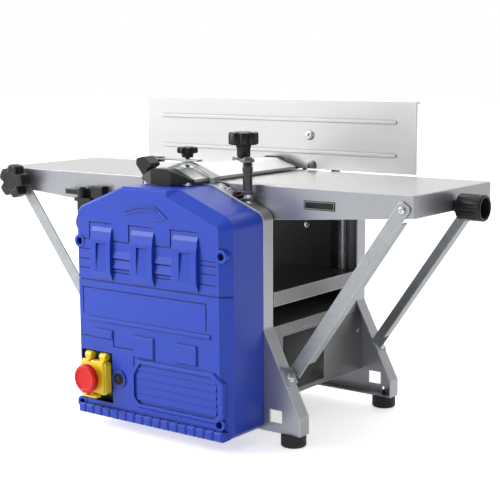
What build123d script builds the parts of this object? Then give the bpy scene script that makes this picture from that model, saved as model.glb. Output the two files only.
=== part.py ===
"""Bench planer-thicknesser: two surfacing tables over a cutterblock, with a rising table below.

Millimetres.  The origin is on the floor, midway between the four feet.  +X points along the
tables to the infeed end, -Y to the operator's side with the drive cover, and +Z up.
"""
import os
from math import atan2, cos, degrees, hypot, pi, radians, sin, tan

from build123d import *

# ---- driving dimensions -------------------------------------------------------------------
HEAD_X = -19.5          # cutterblock axis and middle of the two tables
TABLE_TOP = 348.5       # surfacing tables above the floor
TABLE_LENGTH = 737.0    # both surfacing tables together
TABLE_WIDTH = 210.0
TABLE_SHEET = 4.0
TABLE_GAP = 29.0        # table lip to cutterblock axis
SKIRT = 2.5
SKIRT_END_DEPTH = 29.2
SKIRT_SLOPE = 0.0794    # how much deeper the skirt gets per mm towards the body

PLATE_Y = 129.2         # outer faces of the side plates
PLATE_T = 2.0
FLANGE = 21.6
FLANGE_INNER = PLATE_Y - FLANGE - 0.3
BODY_X = 134.0
KNEE_Z = 156.0
LEG_X = 193.0
LEG_KNEE_Z = 42.0
PLATE_BOTTOM = 17.0
SHOULDER_Z = 312.0
CROWN_X = 48.0
CROWN_Z = 347.0

FOOT_R = 17.3
FOOT_X = 175.4
FOOT_Y = 118.4

CUT_R = 25.0            # cutting circle
BLOCK_R = 23.5
CUT_Z = TABLE_TOP - CUT_R
BLOCK_HALF = 102.0
KNIFE_ANGLES = (90, 270)
KNIFE_ROOT = BLOCK_R - 11
JOURNAL_R = 10.0
CUTTER_STUB_R = 7.0     # its end that carries the pulley
ROLLER_R = 12.5
ROLLER_OFFSET = 40.0
ROLLER_Z = CUT_Z - 13.0
ROLLER_XS = (HEAD_X + ROLLER_OFFSET, HEAD_X - ROLLER_OFFSET)
STUB_R = 6.0
RUN = 0.05              # radial running clearance
KICK_X = HEAD_X + 72.0  # shaft of the anti-kickback pawls
KICK_Z = 322.0

MOTOR_Z = 98.0
MOTOR_R = 38.0
MOTOR_PULLEY_R = 22.0
CUTTER_PULLEY_R = 16.0
BELT_Y = (-164.0, -150.0)
FEED_SMALL_R = 10.0
FEED_LARGE_R = 46.0
FEED_BELT_Y = (-182.0, -174.0)
COUNTER_Z = 273.5
CHAIN_Y = (-143.5, -141.0)
ROLLER_SPROCKET_R = 23.6
COUNTER_SPROCKET_R = 12.0

LIFT_TOP = 203.0        # rising table, as it stands
LIFT_LIP = 20.0
LIFT_HALF_X = BODY_X
SPINDLE_X = 100.0
SPINDLE_Y = 118.0
SPINDLE_R = 6.0
BASE_X = 131.5
BASE_Z = (50.0, 155.0)
SPROCKET_Z = 140.0

COVER_FRONT = -207.0
COVER_BACK = -129.7
COVER_WALL = 2.5
COVER_BOTTOM = 19.5
COVER_SEAM_Z = 211.0
COVER_HALF = 134.0
COVER_SHOULDER_R = 20.0
COVER_BEVEL = (15.0, 12.0)     # width and depth of the broad bevel down the cover's right side
COVER_EDGE = 3.0               # fine bevel along the rest of its front edge
COVER_SCREWS = ((-128, 264.5), (123, 264.5), (-130, 31), (118, 40))
SWITCH_WINDOW = (-129.0, -71.0, 38.0, 110.0)
FLAP_FRONT = COVER_FRONT - 13.0
FLAP_HINGE_Y = COVER_FRONT
FLAP_HINGE_Z = SWITCH_WINDOW[3] - 7.0
STOP_X = -99.0
STOP_Z = 75.0
START_X = -100.0
START_Z = 85.0
OVERLOAD_X = -58.5
OVERLOAD_Z = 75.5
FEED_KNOB_Y = -163.0
FEED_KNOB_Z = 285.0

CRANK_X = SPINDLE_X
CRANK_Y = -SPINDLE_Y
CRANK_TOP = 379.0
GRIP_X = CRANK_X - 22.4
GRIP_Y = CRANK_Y + 20.8

FENCE_LENGTH = 503.5
FENCE_X = HEAD_X - 3.0
FENCE_Y = 107.8
FENCE_Z = (350.5, 453.5)
FENCE_T = 4.0
TILT_Y = 116.0
TILT_Z = 355.0
LOCK_Y = TILT_Y + 34.0  # lock screw through the fence bracket's ear
LOCK_Z = TILT_Z + 12.0
TILT_RANGE = 45.0       # degrees
FENCE_BOLTS = ((48.5, 401.0, 7.6), (52.0, 359.5, 5.6))  # x, z and head radius

GUARD_X = -9.0
GUARD_HALF = 43.0
GUARD_Y = (-152.0, 92.0)
GUARD_BASE = 350.5
GUARD_CROWN = 366.5
CLAMP_Y = -112.0
POST_X = GUARD_X + GUARD_HALF + 7.0
GUARD_POST_R = 4.8
LATCH_PIN = (GUARD_X - GUARD_HALF - 2.5, 353.0)

BRACE_WIDTH = 18.5
BRACE_T = 2.0
BRACE_LEG = 17.0        # depth of the angle's second leg
BRACE_TOP = {1: (331.0, 329.0), -1: (-349.0, 329.0)}
LEG_LEAN = atan2(LEG_X - BODY_X, KNEE_Z - LEG_KNEE_Z)
BRACE_FOOT_Z = 93.0
BRACE_FOOT_X = BODY_X + (KNEE_Z - BRACE_FOOT_Z) * tan(LEG_LEAN)
LATCH_X = -211.0        # lock lever of the outfeed table
LATCH_Y = -TABLE_WIDTH / 2 - 9
KNOB_Z = 325.0
DEPTH_SCREW_R = 5.0


# ---- small shape helpers --------------------------------------------------------------------
def block(x0, x1, y0, y1, z0, z1):
    return Pos((x0 + x1) / 2, (y0 + y1) / 2, (z0 + z1) / 2) * Box(x1 - x0, y1 - y0, z1 - z0)


def rod_x(x0, x1, y, z, r):
    return Pos((x0 + x1) / 2, y, z) * Rot(0, 90, 0) * Cylinder(r, x1 - x0)


def rod_y(y0, y1, x, z, r):
    return Pos(x, (y0 + y1) / 2, z) * Rot(90, 0, 0) * Cylinder(r, y1 - y0)


def rod_z(z0, z1, x, y, r):
    return Pos(x, y, (z0 + z1) / 2) * Cylinder(r, z1 - z0)


def polygon(points):
    return Face(Wire.make_polygon([Vector(*p) for p in points], close=True))


def prism_y(points, y0, y1):
    face = polygon([(x, y0, z) for x, z in points])
    return Solid.extrude(face, Vector(0, y1 - y0, 0))


def prism_x(points, x0, x1):
    face = polygon([(x0, y, z) for y, z in points])
    return Solid.extrude(face, Vector(x1 - x0, 0, 0))


def prism_z(points, z0, z1):
    face = polygon([(x, y, z0) for x, y in points])
    return Solid.extrude(face, Vector(0, 0, z1 - z0))


def rounded(shape, axis, radius):
    """Round every edge that runs along axis."""
    return fillet(shape.edges().filter_by(axis), radius)


def mirrored(points):
    """Close a right-hand outline with its mirror image about X = 0."""
    return points + [(-x, z) for x, z in reversed(points)]


def star(radius, valley, lobes, thickness):
    """A lobed hand-knob disc about Z, from z = 0 up."""
    disc = Cylinder(radius, thickness)
    notch_r = (radius - valley) * 0.95
    for i in range(lobes):
        a = 2 * pi * (i + 0.5) / lobes
        reach = radius + notch_r * 0.12
        disc -= Pos(reach * cos(a), reach * sin(a), 0) * Cylinder(notch_r, thickness * 2)
    return Pos(0, 0, thickness / 2) * disc


def toothed(tip, root, teeth, thickness):
    """A sprocket disc about Z, from z = 0 up."""
    disc = Cylinder(tip, thickness)
    pitch = pi * (tip + root) / teeth
    for i in range(teeth):
        a = 2 * pi * (i + 0.5) / teeth
        disc -= Pos(tip * cos(a), tip * sin(a), 0) * Cylinder(min(tip - root, pitch * 0.34), thickness * 2)
    return Pos(0, 0, thickness / 2) * disc


def along_minus_y(shape, x, y, z):
    """Turn a shape built up +Z so that it grows along -Y from the point given."""
    return Pos(x, y, z) * Rot(90, 0, 0) * shape


def group(parts):
    return Compound(children=list(parts))


# ---- side plates ------------------------------------------------------------------------------
PLATE_OUTLINE = mirrored([
    (CROWN_X, CROWN_Z), (BODY_X, SHOULDER_Z), (BODY_X, KNEE_Z), (LEG_X, LEG_KNEE_Z),
    (LEG_X, PLATE_BOTTOM)])


def plate_shape(inset, depth, y_outer, inward):
    """The plate's outline, moved in by inset and drawn depth thick from its outer face."""
    face = polygon([(x, y_outer, z) for x, z in PLATE_OUTLINE])
    solid = Solid.extrude(face, Vector(0, inward * depth, 0))
    soft = [e for e in solid.edges().filter_by(Axis.Y)
            if e.center().Z > SHOULDER_Z - 5 or abs(e.center().Z - KNEE_Z) < 1]
    shape = fillet(soft, 14.0)
    if inset:
        outer = shape.faces().filter_by(Axis.Y).sort_by(Axis.Y)[0 if inward > 0 else -1]
        inner = offset(Sketch() + outer, amount=-inset, kind=Kind.INTERSECTION)
        shape = extrude(inner, amount=depth, dir=(0, inward, 0))
    return shape


def side_plate(sign):
    """sign -1 is the operator's side.  A flange all round is folded inwards."""
    y_outer = sign * PLATE_Y
    inward = -sign
    plate = plate_shape(0, FLANGE, y_outer, inward)
    hollow = plate_shape(PLATE_T, FLANGE, y_outer, inward)
    plate = plate - Pos(0, inward * PLATE_T, 0) * hollow
    for side in (-1, 1):
        plate -= block(side * 154 - 10, side * 154 + 10, y_outer - 5, y_outer + 5, 30, 48)
        plate -= rod_z(PLATE_BOTTOM - 1, PLATE_BOTTOM + 3, side * FOOT_X, sign * FOOT_Y, 3.3)
        plate -= brace_bolt_hole(side, sign)
    web = y_outer - 4, y_outer + 4
    plate -= rod_y(*web, HEAD_X, CUT_Z, JOURNAL_R + 2)
    for x in ROLLER_XS:
        plate -= rod_y(*web, x, ROLLER_Z, STUB_R + 1)
    return plate


def front_side_plate():
    plate = side_plate(-1)
    plate -= rod_y(-PLATE_Y - 2, -PLATE_Y + 4, HEAD_X, MOTOR_Z, 12)
    plate -= rod_z(300, CROWN_Z + 5, CRANK_X, CRANK_Y, SPINDLE_R + 0.6)
    plate -= rod_z(330, CROWN_Z + 5, POST_X, -SPINDLE_Y, 5.6)
    sleeve = rod_z(318, 344.5, POST_X, -SPINDLE_Y, 8) + block(
        POST_X - 4, POST_X + 4, -PLATE_Y + PLATE_T - 0.5, -SPINDLE_Y - 5, 318, 344.5)
    plate += sleeve - rod_z(300, CROWN_Z + 5, POST_X, -SPINDLE_Y, GUARD_POST_R + RUN)
    axle = rod_y(FEED_BELT_Y[0] - 2, -PLATE_Y + PLATE_T, HEAD_X, COUNTER_Z, 5)
    return plate + axle


def rear_side_plate():
    return side_plate(1) - block(167.3, 170.7, PLATE_Y - 5, PLATE_Y + 5, 20, 27)


# ---- base, chamber and motor --------------------------------------------------------------------
def base_shell():
    """A folded tray round the motor, with a turned lip along the top of its open sides."""
    y = PLATE_Y - PLATE_T - 0.1
    z0, z1 = BASE_Z
    shell = block(-BASE_X, BASE_X, -y, y, z0, z1)
    shell -= block(-BASE_X + 1.5, BASE_X - 1.5, -y - 1, y + 1, z0 + 1.5, z1 - 1.5)
    for side in (-1, 1):
        x = side * (BASE_X + 0.75)
        shell += block(x - 0.75, x + 0.75, -FLANGE_INNER, FLANGE_INNER, z1 - 13, z1)
        for end in (-1, 1):
            shell -= rod_z(z1 - 4, z1 + 2, side * SPINDLE_X, end * SPINDLE_Y, SPINDLE_R + 0.4)
    return shell


def chamber_liners():
    """Dark sheets that line the throat beside the rising table and carry small screws."""
    parts = []
    for sign in (-1, 1):
        y0, y1 = sorted((sign * 106.0, sign * 107.4))
        liner = block(-88, 88, y0, y1, BASE_Z[1] + 0.2, 300)
        foot_y = sorted((sign * 107.4, sign * (PLATE_Y - PLATE_T)))
        liner += block(-88, 88, foot_y[0], foot_y[1], 296, 300)
        for x in ROLLER_XS:
            liner -= rod_y(y0 - 30, y1 + 30, x, ROLLER_Z, ROLLER_R + 1.5)
        liner -= rod_y(y0 - 30, y1 + 30, HEAD_X, CUT_Z, BLOCK_R + 4)
        liner -= rod_z(290, 305, POST_X, sign * SPINDLE_Y, 6)
        parts.append(liner)
        parts.append(rod_y(*sorted((sign * 105.3, sign * 106.0)), 45, 265, 5.5))
    return group(parts)


def motor_housing():
    y0, y1 = -106.0, 44.0
    body = rod_y(y0, y1, HEAD_X, MOTOR_Z, MOTOR_R)
    body = chamfer(body.edges().filter_by(GeomType.CIRCLE), 4)
    fins = [block(HEAD_X - 1.5, HEAD_X + 1.5, y0 + 20, y1 - 20, MOTOR_Z - MOTOR_R - 4, MOTOR_Z + MOTOR_R + 4)]
    for i in range(1, 6):
        turn = Pos(HEAD_X, 0, MOTOR_Z) * Rot(0, 30 * i, 0) * Pos(-HEAD_X, 0, -MOTOR_Z)
        fins.append(turn * fins[0])
    for fin in fins:
        body += fin
    body += block(HEAD_X - 30, HEAD_X + 30, y0 + 10, y1 - 10, BASE_Z[0] + 1.5, MOTOR_Z - 20)
    body += rod_y(-PLATE_Y + PLATE_T, y0 + 1, HEAD_X, MOTOR_Z, 24)
    return body - rod_y(-PLATE_Y - 5, y1 - 10, HEAD_X, MOTOR_Z, STUB_R + RUN)


def motor_shaft():
    return rod_y(FEED_BELT_Y[0] - 1, 30, HEAD_X, MOTOR_Z, STUB_R)


def pulley(y_span, x, z, radius, bore, flange=2.0):
    """A crowned pulley with two side flanges."""
    y0, y1 = y_span
    wheel = rod_y(y0, y1, x, z, radius)
    wheel += rod_y(y0 - 1.5, y0, x, z, radius + flange)
    wheel += rod_y(y1, y1 + 1.5, x, z, radius + flange)
    return wheel - rod_y(y0 - 5, y1 + 5, x, z, bore)


def motor_pulley():
    main = pulley(BELT_Y, HEAD_X, MOTOR_Z, MOTOR_PULLEY_R, STUB_R)
    small = pulley(FEED_BELT_Y, HEAD_X, MOTOR_Z, FEED_SMALL_R, STUB_R)
    spacer = rod_y(FEED_BELT_Y[1] + 1.5, BELT_Y[0] - 1.5, HEAD_X, MOTOR_Z, 9)
    return main + small + (spacer - rod_y(-200, -100, HEAD_X, MOTOR_Z, STUB_R))


def belt(y_span, x, z_low, r_low, z_high, r_high, thickness):
    """A flat belt round two pulleys that stand one above the other."""
    def at(point):
        return Vector(point[0], y_span[0], point[1])

    def loop(grow):
        ra, rb = r_low + grow, r_high + grow
        lean = (ra - rb) / (z_high - z_low)
        c = (1 - lean * lean) ** 0.5
        low_right = (x + ra * c, z_low + ra * lean)
        high_right = (x + rb * c, z_high + rb * lean)
        low_left = (x - ra * c, z_low + ra * lean)
        high_left = (x - rb * c, z_high + rb * lean)
        edges = [Edge.make_line(at(low_right), at(high_right)),
                 Edge.make_three_point_arc(at(high_right), at((x, z_high + rb)), at(high_left)),
                 Edge.make_line(at(high_left), at(low_left)),
                 Edge.make_three_point_arc(at(low_left), at((x, z_low - ra)), at(low_right))]
        return Solid.extrude(Face(Wire(edges)), Vector(0, y_span[1] - y_span[0], 0))

    return loop(0.3 + thickness) - loop(0.3)


def drive_belts():
    """The wide cutterblock belt and the narrow feed belt in front of it."""
    y0, y1 = BELT_Y
    wide = belt((y0 + 0.5, y1 - 0.5), HEAD_X, MOTOR_Z, MOTOR_PULLEY_R, CUT_Z, CUTTER_PULLEY_R, 1.5)
    y0, y1 = FEED_BELT_Y
    narrow = belt((y0 + 0.5, y1 - 0.5), HEAD_X, MOTOR_Z, FEED_SMALL_R, COUNTER_Z, FEED_LARGE_R, 1.5)
    return group([wide, narrow])


def countershaft_pulley():
    """Large feed pulley and the chain's driving sprocket, turning together on a fixed axle."""
    wheel = pulley(FEED_BELT_Y, HEAD_X, COUNTER_Z, FEED_LARGE_R, 5 + RUN)
    hub = rod_y(FEED_BELT_Y[1], CHAIN_Y[0], HEAD_X, COUNTER_Z, 9)
    sprocket = along_minus_y(toothed(COUNTER_SPROCKET_R, 9.5, 12, 2.5), HEAD_X, CHAIN_Y[1], COUNTER_Z)
    return wheel + (hub + sprocket - rod_y(-200, -100, HEAD_X, COUNTER_Z, 5 + RUN))


# ---- cutterblock and feed ---------------------------------------------------------------------
def at_knife(shape, angle):
    return Pos(HEAD_X, 0, CUT_Z) * Rot(0, angle, 0) * shape


def cutterblock():
    body = Rot(90, 0, 0) * Cylinder(BLOCK_R, 2 * BLOCK_HALF)
    body += Rot(90, 0, 0) * Cylinder(JOURNAL_R, 2 * (PLATE_Y - 2))
    body += rod_y(BELT_Y[0] - 3, 0, 0, 0, CUTTER_STUB_R)
    for angle in KNIFE_ANGLES:
        slot = block(-10, 4, -BLOCK_HALF - 1, BLOCK_HALF + 1, KNIFE_ROOT, CUT_R)
        body -= Rot(0, angle, 0) * slot
    return Pos(HEAD_X, 0, CUT_Z) * body


def planer_knives():
    knives = []
    for angle in KNIFE_ANGLES:
        knife = block(1, 4, -BLOCK_HALF, BLOCK_HALF, KNIFE_ROOT, CUT_R - 0.1)
        knives.append(at_knife(knife, angle))
    return group(knives)


def knife_gibs():
    """Wedge bars that clamp the knives, with the heads of their jacking screws."""
    bars = []
    for angle in KNIFE_ANGLES:
        bar = block(-10, 1, -BLOCK_HALF, BLOCK_HALF, KNIFE_ROOT, BLOCK_R - 3)
        for i in range(4):
            y = -75 + 50 * i
            bar -= Pos(-4.5, y, BLOCK_R - 3) * Cylinder(2.6, 4)
        bars.append(at_knife(bar, angle))
    return group(bars)


def cutter_pulley():
    return pulley(BELT_Y, HEAD_X, CUT_Z, CUTTER_PULLEY_R, CUTTER_STUB_R, 1.5)


def bearing_housings():
    parts = []
    for sign in (-1, 1):
        y0, y1 = sorted((sign * 108.0, sign * (PLATE_Y - PLATE_T)))
        house = block(HEAD_X - 25, HEAD_X + 25, y0, y1, 300.2, 344.4)
        house = rounded(house, Axis.Y, 6)
        parts.append(house - rod_y(y0 - 5, y1 + 5, HEAD_X, CUT_Z, 19))
    return group(parts)


def cutter_bearings():
    parts = []
    for sign in (-1, 1):
        y0, y1 = sorted((sign * 110.0, sign * 124.0))
        ring = rod_y(y0, y1, HEAD_X, CUT_Z, 19)
        parts.append(ring - rod_y(y0 - 5, y1 + 5, HEAD_X, CUT_Z, JOURNAL_R + RUN))
    return group(parts)


def roller_bushes():
    parts = []
    for sign in (-1, 1):
        y0, y1 = sorted((sign * 110.0, sign * (PLATE_Y - PLATE_T)))
        for x in ROLLER_XS:
            bush = block(x - 8.5, x + 8.5, y0, y1, ROLLER_Z - 10, ROLLER_Z + 10)
            parts.append(bush - rod_y(y0 - 5, y1 + 5, x, ROLLER_Z, STUB_R + RUN))
    return group(parts)


def feed_roller(x, fluted):
    """A feed roller with its journals and the chain sprocket keyed to its front end."""
    roller = rod_y(-BLOCK_HALF, BLOCK_HALF, x, ROLLER_Z, ROLLER_R)
    if fluted:
        for i in range(18):
            a = 2 * pi * i / 18
            px, pz = x + ROLLER_R * cos(a), ROLLER_Z + ROLLER_R * sin(a)
            roller -= rod_y(-BLOCK_HALF - 1, BLOCK_HALF + 1, px, pz, 1.1)
    roller += rod_y(CHAIN_Y[0] - 1, PLATE_Y - 3, x, ROLLER_Z, STUB_R)
    sprocket = along_minus_y(toothed(ROLLER_SPROCKET_R, 21, 24, 2.5), x, CHAIN_Y[1], ROLLER_Z)
    return roller + sprocket


def infeed_roller():
    return feed_roller(ROLLER_XS[0], True)


def outfeed_roller():
    return feed_roller(ROLLER_XS[1], False)


def feed_chain():
    """Chain round the two roller sprockets, driven from below on its outside."""
    y0, y1 = CHAIN_Y
    x_mid = sum(ROLLER_XS) / 2
    span = abs(ROLLER_XS[0] - ROLLER_XS[1])
    def strip(y, thick):
        outer = SlotCenterToCenter(span, 2 * (ROLLER_SPROCKET_R + 1.2))
        inner = SlotCenterToCenter(span, 2 * (ROLLER_SPROCKET_R - 3.2))
        ring = extrude(outer - inner, amount=thick)
        return Pos(x_mid, y, ROLLER_Z) * Rot(90, 0, 0) * ring
    chain = strip(y1 + 1.2, 0.8) + strip(y0 - 0.4, 0.8)
    for side in (-1, 1):
        for i in range(5):
            px = x_mid + 6.35 * (i - 2)
            pz = ROLLER_Z + side * (ROLLER_SPROCKET_R - 1)
            chain += rod_y(y0 - 1.2, y1 + 1.2, px, pz, 1.0)
    return chain


def kickback_shaft():
    return rod_y(-PLATE_Y + PLATE_T, PLATE_Y - PLATE_T, KICK_X, KICK_Z, 4)


def kickback_fingers():
    """A row of pawls that hang on one shaft; their bosses keep them apart."""
    x, z = KICK_X, KICK_Z
    row = rod_y(-100, 100, x, z, 6.5)
    for i in range(26):
        y = -98 + i * 7.84
        pawl = [(x - 6, z), (x + 6, z), (x + 2, z - 19), (x - 4, z - 25), (x - 7, z - 20)]
        row += prism_y(pawl, y - 2, y + 2)
    return row - rod_y(-101, 101, x, z, 4 + RUN)


# ---- rising table and its lift --------------------------------------------------------------------
def thicknessing_table():
    half_y = TABLE_WIDTH / 2
    table = block(-LIFT_HALF_X, LIFT_HALF_X, -half_y, half_y, LIFT_TOP - 4, LIFT_TOP)
    table = rounded(table, Axis.Z, 2)
    for side in (-1, 1):
        x = side * (LIFT_HALF_X - 1.25)
        table += block(x - 1.25, x + 1.25, -half_y, half_y, LIFT_TOP - LIFT_LIP, LIFT_TOP - 2)
        table += block(-LIFT_HALF_X, LIFT_HALF_X, side * 60 - 2, side * 60 + 2, LIFT_TOP - 15, LIFT_TOP - 2)
        x = side * SPINDLE_X
        rail = block(x - 10, x + 10, -SPINDLE_Y - 8.2, SPINDLE_Y + 8.2, LIFT_TOP - 17, LIFT_TOP - 4)
        table += rounded(rail, Axis.Z, 4)
    for x in (-SPINDLE_X, SPINDLE_X):
        for y in (-SPINDLE_Y, SPINDLE_Y):
            table -= rod_z(LIFT_TOP - 30, LIFT_TOP + 2, x, y, 8)
    return table


def lift_nuts():
    nuts = []
    for x in (-SPINDLE_X, SPINDLE_X):
        for y in (-SPINDLE_Y, SPINDLE_Y):
            nut = rod_z(LIFT_TOP - 19, LIFT_TOP - 4, x, y, 8)
            nuts.append(nut - rod_z(LIFT_TOP - 30, LIFT_TOP + 2, x, y, SPINDLE_R + RUN))
    return group(nuts)


def lift_spindle(side, end):
    """Threaded post with a thrust collar on the base and a chain sprocket inside it."""
    x, y = side * SPINDLE_X, end * SPINDLE_Y
    post = rod_z(SPROCKET_Z - 6, 318, x, y, SPINDLE_R)
    post += rod_z(BASE_Z[1] + 0.3, BASE_Z[1] + 2.5, x, y, 8)
    return post + Pos(x, y, SPROCKET_Z) * toothed(7.9, 6.4, 9, 2.4)


def spindle_front_right():
    return lift_spindle(1, -1)


def spindle_rear_right():
    return lift_spindle(1, 1)


def spindle_front_left():
    return lift_spindle(-1, -1)


def spindle_rear_left():
    return lift_spindle(-1, 1)


def lift_chain():
    """Chain that turns all four posts together."""
    def strip(z):
        outer = RectangleRounded(2 * (SPINDLE_X + 8.5), 2 * (SPINDLE_Y + 8.5), 8.5)
        inner = RectangleRounded(2 * (SPINDLE_X + 6.3), 2 * (SPINDLE_Y + 6.3), 6.3)
        return Pos(0, 0, z) * extrude(outer - inner, amount=0.8)
    chain = strip(SPROCKET_Z - 1.2) + strip(SPROCKET_Z + 2.8)
    for i in range(16):
        along_x = -SPINDLE_X + 25 + i * 10
        for side in (-1, 1):
            chain += rod_z(SPROCKET_Z - 0.8, SPROCKET_Z + 3.2, along_x, side * (SPINDLE_Y + 7.4), 0.9)
    for i in range(19):
        along_y = -SPINDLE_Y + 28 + i * 10
        for side in (-1, 1):
            chain += rod_z(SPROCKET_Z - 0.8, SPROCKET_Z + 3.2, side * (SPINDLE_X + 7.4), along_y, 0.9)
    return chain


def crank_shaft():
    """Socket and shaft that carry the crank above the front right post."""
    shaft = rod_z(318, CRANK_TOP, CRANK_X, CRANK_Y, 5.9)
    return shaft + rod_z(331.5, 337, CRANK_X, CRANK_Y, 8.5) + rod_z(337, CRANK_TOP - 1, CRANK_X, CRANK_Y, 6.3)


def crank_arm():
    turn = degrees(atan2(GRIP_Y - CRANK_Y, GRIP_X - CRANK_X))
    reach = hypot(GRIP_X - CRANK_X, GRIP_Y - CRANK_Y)
    bar = extrude(SlotCenterToCenter(reach, 19), amount=4.5)
    arm = Pos((CRANK_X + GRIP_X) / 2, (CRANK_Y + GRIP_Y) / 2, CRANK_TOP) * Rot(0, 0, turn) * bar
    arm += rod_z(CRANK_TOP + 4.5, CRANK_TOP + 7, CRANK_X, CRANK_Y, 6)
    return arm + rod_z(CRANK_TOP + 4.5, CRANK_TOP + 20, GRIP_X, GRIP_Y, 3)


def crank_grip():
    z = CRANK_TOP + 4.8
    grip = rod_z(z, z + 17, GRIP_X, GRIP_Y, 9)
    grip += Pos(GRIP_X, GRIP_Y, z + 16) * star(20.5, 15.5, 7, 17.5)
    return grip - rod_z(z - 2, z + 16, GRIP_X, GRIP_Y, 3 + RUN)


# ---- surfacing tables -------------------------------------------------------------------------------
def skirt_depth(distance):
    """Depth of the skirt at a distance inwards from the table's outer end."""
    return SKIRT_END_DEPTH + SKIRT_SLOPE * distance


def surfacing_table(side):
    """A table plate with its folded skirt; side +1 is the infeed table, -1 the outfeed table."""
    half_y = TABLE_WIDTH / 2
    length = TABLE_LENGTH / 2 - TABLE_GAP
    skirt_length = TABLE_LENGTH / 2 - 79
    outer = block(0, length, -half_y, half_y, -60, 0)
    far = outer.edges().filter_by(Axis.Z).sort_by(Axis.X)[:2]
    outer = fillet(far, 4)
    wedge = prism_y([(-1, -60.5), (-1, -SKIRT_END_DEPTH), (skirt_length, -skirt_depth(skirt_length)),
                     (skirt_length, -TABLE_SHEET), (length + 1, -TABLE_SHEET), (length + 1, -60.5)],
                    -half_y - 1, half_y + 1)
    body = outer - wedge
    room = block(SKIRT, length + 1, -half_y + SKIRT, half_y - SKIRT, -61, -TABLE_SHEET)
    body -= room
    top_edges = body.faces().sort_by(Axis.Z)[-1].edges()
    body = fillet(top_edges, 1.2)
    body += block(length - 3, length, -half_y + 1, half_y - 1, -TABLE_SHEET - 4, -TABLE_SHEET + 1)
    for y in (-50, 50):
        body += block(SKIRT - 1, length - 40, y - 2, y + 2, -16, -TABLE_SHEET + 1)
    place = Pos(HEAD_X + side * TABLE_LENGTH / 2, 0, TABLE_TOP)
    if side > 0:
        return place * Rot(0, 0, 180) * body
    return place * body


def infeed_table():
    table = surfacing_table(1)
    for sign in (-1, 1):
        x, z = BRACE_TOP[1]
        y0, y1 = sorted((sign * (TABLE_WIDTH / 2 - 4), sign * (TABLE_WIDTH / 2 + 1)))
        table -= block(x - 3.6, x + 3.6, y0, y1, z - 4, z + 7)
    end = HEAD_X + TABLE_LENGTH / 2
    return table - rod_x(end - 6, end + 1, 0, KNOB_Z, DEPTH_SCREW_R + RUN)


def outfeed_table():
    """The fixed table that the struts hold level with the knives."""
    table = surfacing_table(-1)
    for sign in (-1, 1):
        x, z = BRACE_TOP[-1]
        y0, y1 = sorted((sign * (TABLE_WIDTH / 2 - 4), sign * (TABLE_WIDTH / 2 + 1)))
        table -= rod_y(y0, y1, x, z, 3.6)
    return table


def outfeed_latch_block():
    half_y = TABLE_WIDTH / 2
    catch = block(-190, -168, -half_y - 13, -half_y, 311, 330)
    catch = fillet(catch.edges().filter_by(Axis.X), 2)
    carrier = block(-222, -189, -half_y - 16, -half_y, 306, 311)
    stem = block(-218, -197, -half_y - 14, -half_y - 4, 286, 306)
    return catch + carrier + stem + rod_z(300, 327, LATCH_X, LATCH_Y, 4.5)


def outfeed_latch_lever():
    lever = block(LATCH_X - 32, LATCH_X + 6, LATCH_Y - 7, LATCH_Y + 7, 316, 323)
    lever = rounded(lever, Axis.Z, 5)
    lever += rod_z(311.5, 325, LATCH_X, LATCH_Y, 8)
    return lever - rod_z(300, 340, LATCH_X, LATCH_Y, 4.5 + RUN)


# ---- braces ---------------------------------------------------------------------------------------
def brace_bolt_hole(side, sign):
    """Hole square to the leg's sloping flange."""
    lean = degrees(LEG_LEAN)
    hole = Rot(0, 90 - lean, 0) * Cylinder(3.3, 12)
    if side < 0:
        hole = Rot(0, -90 + lean, 0) * Cylinder(3.3, 12)
    return Pos(side * BRACE_FOOT_X, sign * FOOT_Y, BRACE_FOOT_Z) * hole


def brace(side, sign):
    """Angle-section strut from the leg's sloping flange up to the table's skirt."""
    top_x, top_z = BRACE_TOP[side]
    foot = Vector(side * BRACE_FOOT_X, 0, BRACE_FOOT_Z)
    rise = Vector(top_x, 0, top_z) - foot
    length = rise.length
    tilt = degrees(atan2(rise.X, rise.Z))
    y_in = sign * (TABLE_WIDTH / 2 + 0.5)
    y_out = y_in + sign * BRACE_T
    y0, y1 = sorted((y_in, y_out))
    half = BRACE_WIDTH / 2
    strip = block(-half, half, y0, y1, 4, length + half)
    strip = chamfer(strip.edges().filter_by(Axis.Y).sort_by(Axis.Z)[-2:], 3.5)
    outer = side * half
    leg_x = sorted((outer, outer - side * BRACE_T))
    leg_y = sorted((y_in, y_in - sign * (BRACE_LEG - BRACE_T)))
    leg = block(leg_x[0], leg_x[1], leg_y[0], leg_y[1], 30, length - 16)
    bar = strip + leg
    bar = Pos(foot.X, 0, foot.Z) * Rot(0, tilt, 0) * bar
    lean = degrees(LEG_LEAN)
    tab_turn = Pos(foot.X, 0, foot.Z) * Rot(0, -side * lean, 0)
    tab_y = sorted((sign * (FOOT_Y + 9.5), y_in))
    tab_x = sorted((side * 0.2, side * (0.2 + BRACE_T)))
    tab = block(tab_x[0], tab_x[1], tab_y[0], tab_y[1], -11, 11)
    tab = fillet(tab.edges().filter_by(Axis.X).sort_by(Axis.Y)[0 if sign < 0 else -1], 6)
    tab = tab_turn * tab
    behind = tab_turn * block(*sorted((side * 0.2, -side * 60)), -200, 200, -80, 80)
    strut = (bar - behind) + tab
    strut -= rod_y(*sorted((y_in - sign, y_out + sign)), top_x, top_z, 3.3)
    return strut - brace_bolt_hole(side, sign)


def infeed_braces():
    return group([brace(1, -1), brace(1, 1)])


def outfeed_braces():
    return group([brace(-1, -1), brace(-1, 1)])


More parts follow.
